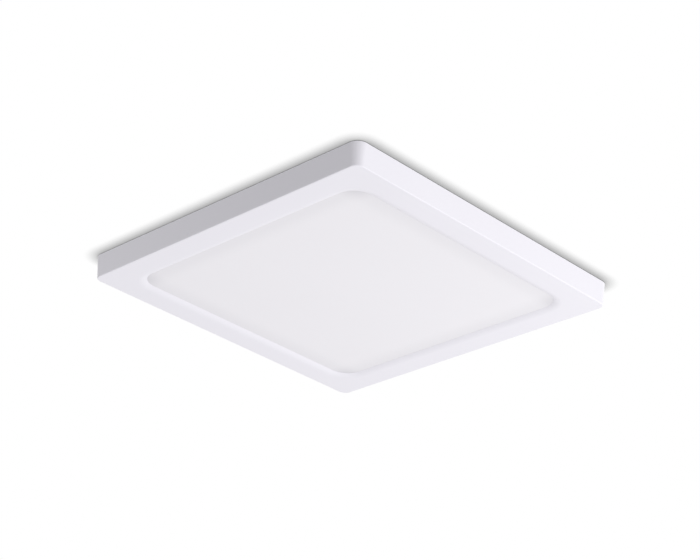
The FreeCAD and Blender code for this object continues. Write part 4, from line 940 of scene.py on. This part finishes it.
class DOWNLIGHT_OT_stage(bpy.types.Operator):
    """Hang the ceiling, light it softly and place the camera"""

    bl_idname = "downlight.stage"
    bl_label = "Ceiling, light and camera"

    def execute(self, context):
        stage = context.scene.downlight_stage
        context.scene.view_settings.view_transform = "Standard"
        self.hang_ceiling(stage)
        self.fill_world(context.scene, stage)
        self.add_lamp("key_lamp", stage.key_place, stage.key_power, stage.lamp_width)
        self.add_lamp("side_lamp", stage.side_place, stage.side_power, stage.side_width)
        self.add_lamp("back_lamp", stage.back_place, stage.back_power, stage.lamp_width)
        self.add_camera(context.scene, stage)
        return {"FINISHED"}

    def hang_ceiling(self, stage):
        """A wide ceiling that is seen from below only."""
        shape = bmesh.new()
        bmesh.ops.create_grid(shape, x_segments=1, y_segments=1, size=stage.ceiling_width / 2,
                              matrix=Matrix.Translation((0, 0, stage.ceiling_gap)))
        bmesh.ops.reverse_faces(shape, faces=shape.faces[:])
        mesh = bpy.data.meshes.new("ceiling")
        shape.to_mesh(mesh)
        shape.free()
        mesh.materials.append(self.ceiling_paint(stage))
        ceiling = bpy.data.objects.new("ceiling", mesh)
        bpy.context.scene.collection.objects.link(ceiling)

    def ceiling_paint(self, stage):
        """White to the eye, with a soft shade beside the object, and clear from above."""
        material = bpy.data.materials.new("ceiling_paint")
        material.use_nodes = True
        nodes = NodeTree(material.node_tree)
        material.node_tree.nodes.clear()
        open_sky = nodes.node("AmbientOcclusion", None, {"Distance": stage.shade_reach}, "AO")
        shade = nodes.mix(open_sky ** stage.shade_fall, stage.shade_colour, WHITE)
        white = nodes.node("Emission", None, {"Color": shade})
        clear = nodes.node("BsdfTransparent")
        below = 1 - nodes.node("NewGeometry", output="Backfacing")
        eye = nodes.node("LightPath", output="Is Camera Ray")
        surface = nodes.node("MixShader", None, {0: eye * below, 1: clear, 2: white})
        out = nodes.tree.nodes.new("ShaderNodeOutputMaterial")
        nodes.feed(out.inputs["Surface"], surface)
        return material

    def fill_world(self, scene, stage):
        """Soft light that leans to one side and has a dark card in it, behind a white backdrop."""
        world = bpy.data.worlds.new("studio")
        world.use_nodes = True
        scene.world = world
        nodes = NodeTree(world.node_tree)
        seen = seen_directly(nodes)
        backdrop = world.node_tree.nodes["Background"].inputs
        nodes.feed(backdrop["Color"], nodes.mix(seen, stage.ambient_colour, WHITE))
        lean = facing(nodes, stage.ambient_lean)
        towards_card = facing(nodes, Vector(stage.card_way).normalized())
        card = nodes.ease(towards_card, stage.card_start, stage.card_full)
        soft = stage.ambient * (1 + lean) * (1 - stage.card_depth * card)
        nodes.feed(backdrop["Strength"], soft * (1 - seen) + seen)

    def add_lamp(self, name, place, power, width):
        """One soft square lamp that faces the object."""
        lamp = bpy.data.lights.new(name, "AREA")
        lamp.energy = power
        lamp.size = width
        holder = bpy.data.objects.new(name, lamp)
        holder.location = place
        holder.rotation_euler = (-Vector(place)).to_track_quat("-Z", "Y").to_euler()
        bpy.context.scene.collection.objects.link(holder)

    def add_camera(self, scene, stage):
        """A long lens below the near corner."""
        lens = bpy.data.cameras.new("camera")
        lens.sensor_fit = "HORIZONTAL"
        lens.sensor_width = stage.sensor_width
        lens.lens = stage.focal_length
        camera = bpy.data.objects.new("camera", lens)
        aim = Vector(stage.camera_aim).to_track_quat("-Z", "Y").to_matrix()
        turned = aim @ Matrix.Rotation(stage.camera_roll, 3, "Z")
        camera.matrix_world = Matrix.Translation(stage.camera_place) @ turned.to_4x4()
        scene.collection.objects.link(camera)
        scene.camera = camera


class DOWNLIGHT_PT_pieces(bpy.types.Panel):
    """Lists the pieces and their settings"""

    bl_idname = "DOWNLIGHT_PT_pieces"
    bl_label = "Downlight"
    bl_space_type = "VIEW_3D"
    bl_region_type = "UI"
    bl_category = "Downlight"

    def draw(self, context):
        column = self.layout.column()
        for piece in OPERATORS:
            column.operator(piece.bl_idname)
        for name, kind in GROUPS.items():
            for setting in kind.__annotations__:
                column.prop(getattr(context.scene, name), setting)


GROUPS = {
    "downlight_sizes": DownlightSizes,
    "downlight_colours": DownlightColours,
    "downlight_stage": DownlightStage,
}
OPERATORS = (
    DOWNLIGHT_OT_front_frame,
    DOWNLIGHT_OT_light_stack,
    DOWNLIGHT_OT_back_plate,
    DOWNLIGHT_OT_clips,
    DOWNLIGHT_OT_springs,
    DOWNLIGHT_OT_driver_box,
    DOWNLIGHT_OT_electronics,
    DOWNLIGHT_OT_stage,
)


def register():
    """Add the settings, the operators and the panel."""
    for kind in (*GROUPS.values(), *OPERATORS, DOWNLIGHT_PT_pieces):
        bpy.utils.register_class(kind)
    for name, kind in GROUPS.items():
        setattr(bpy.types.Scene, name, PointerProperty(type=kind))


def unregister():
    """Take the panel, the operators and the settings away."""
    for name in GROUPS:
        delattr(bpy.types.Scene, name)
    for kind in (DOWNLIGHT_PT_pieces, *reversed(OPERATORS), *reversed(GROUPS.values())):
        bpy.utils.unregister_class(kind)


def main():
    """Build every piece and the stage."""
    register()
    bpy.ops.downlight.front_frame()
    bpy.ops.downlight.light_stack()
    bpy.ops.downlight.back_plate()
    bpy.ops.downlight.clips()
    bpy.ops.downlight.springs()
    bpy.ops.downlight.driver_box()
    bpy.ops.downlight.electronics()
    bpy.ops.downlight.stage()


if __name__ == "__main__":
    main()
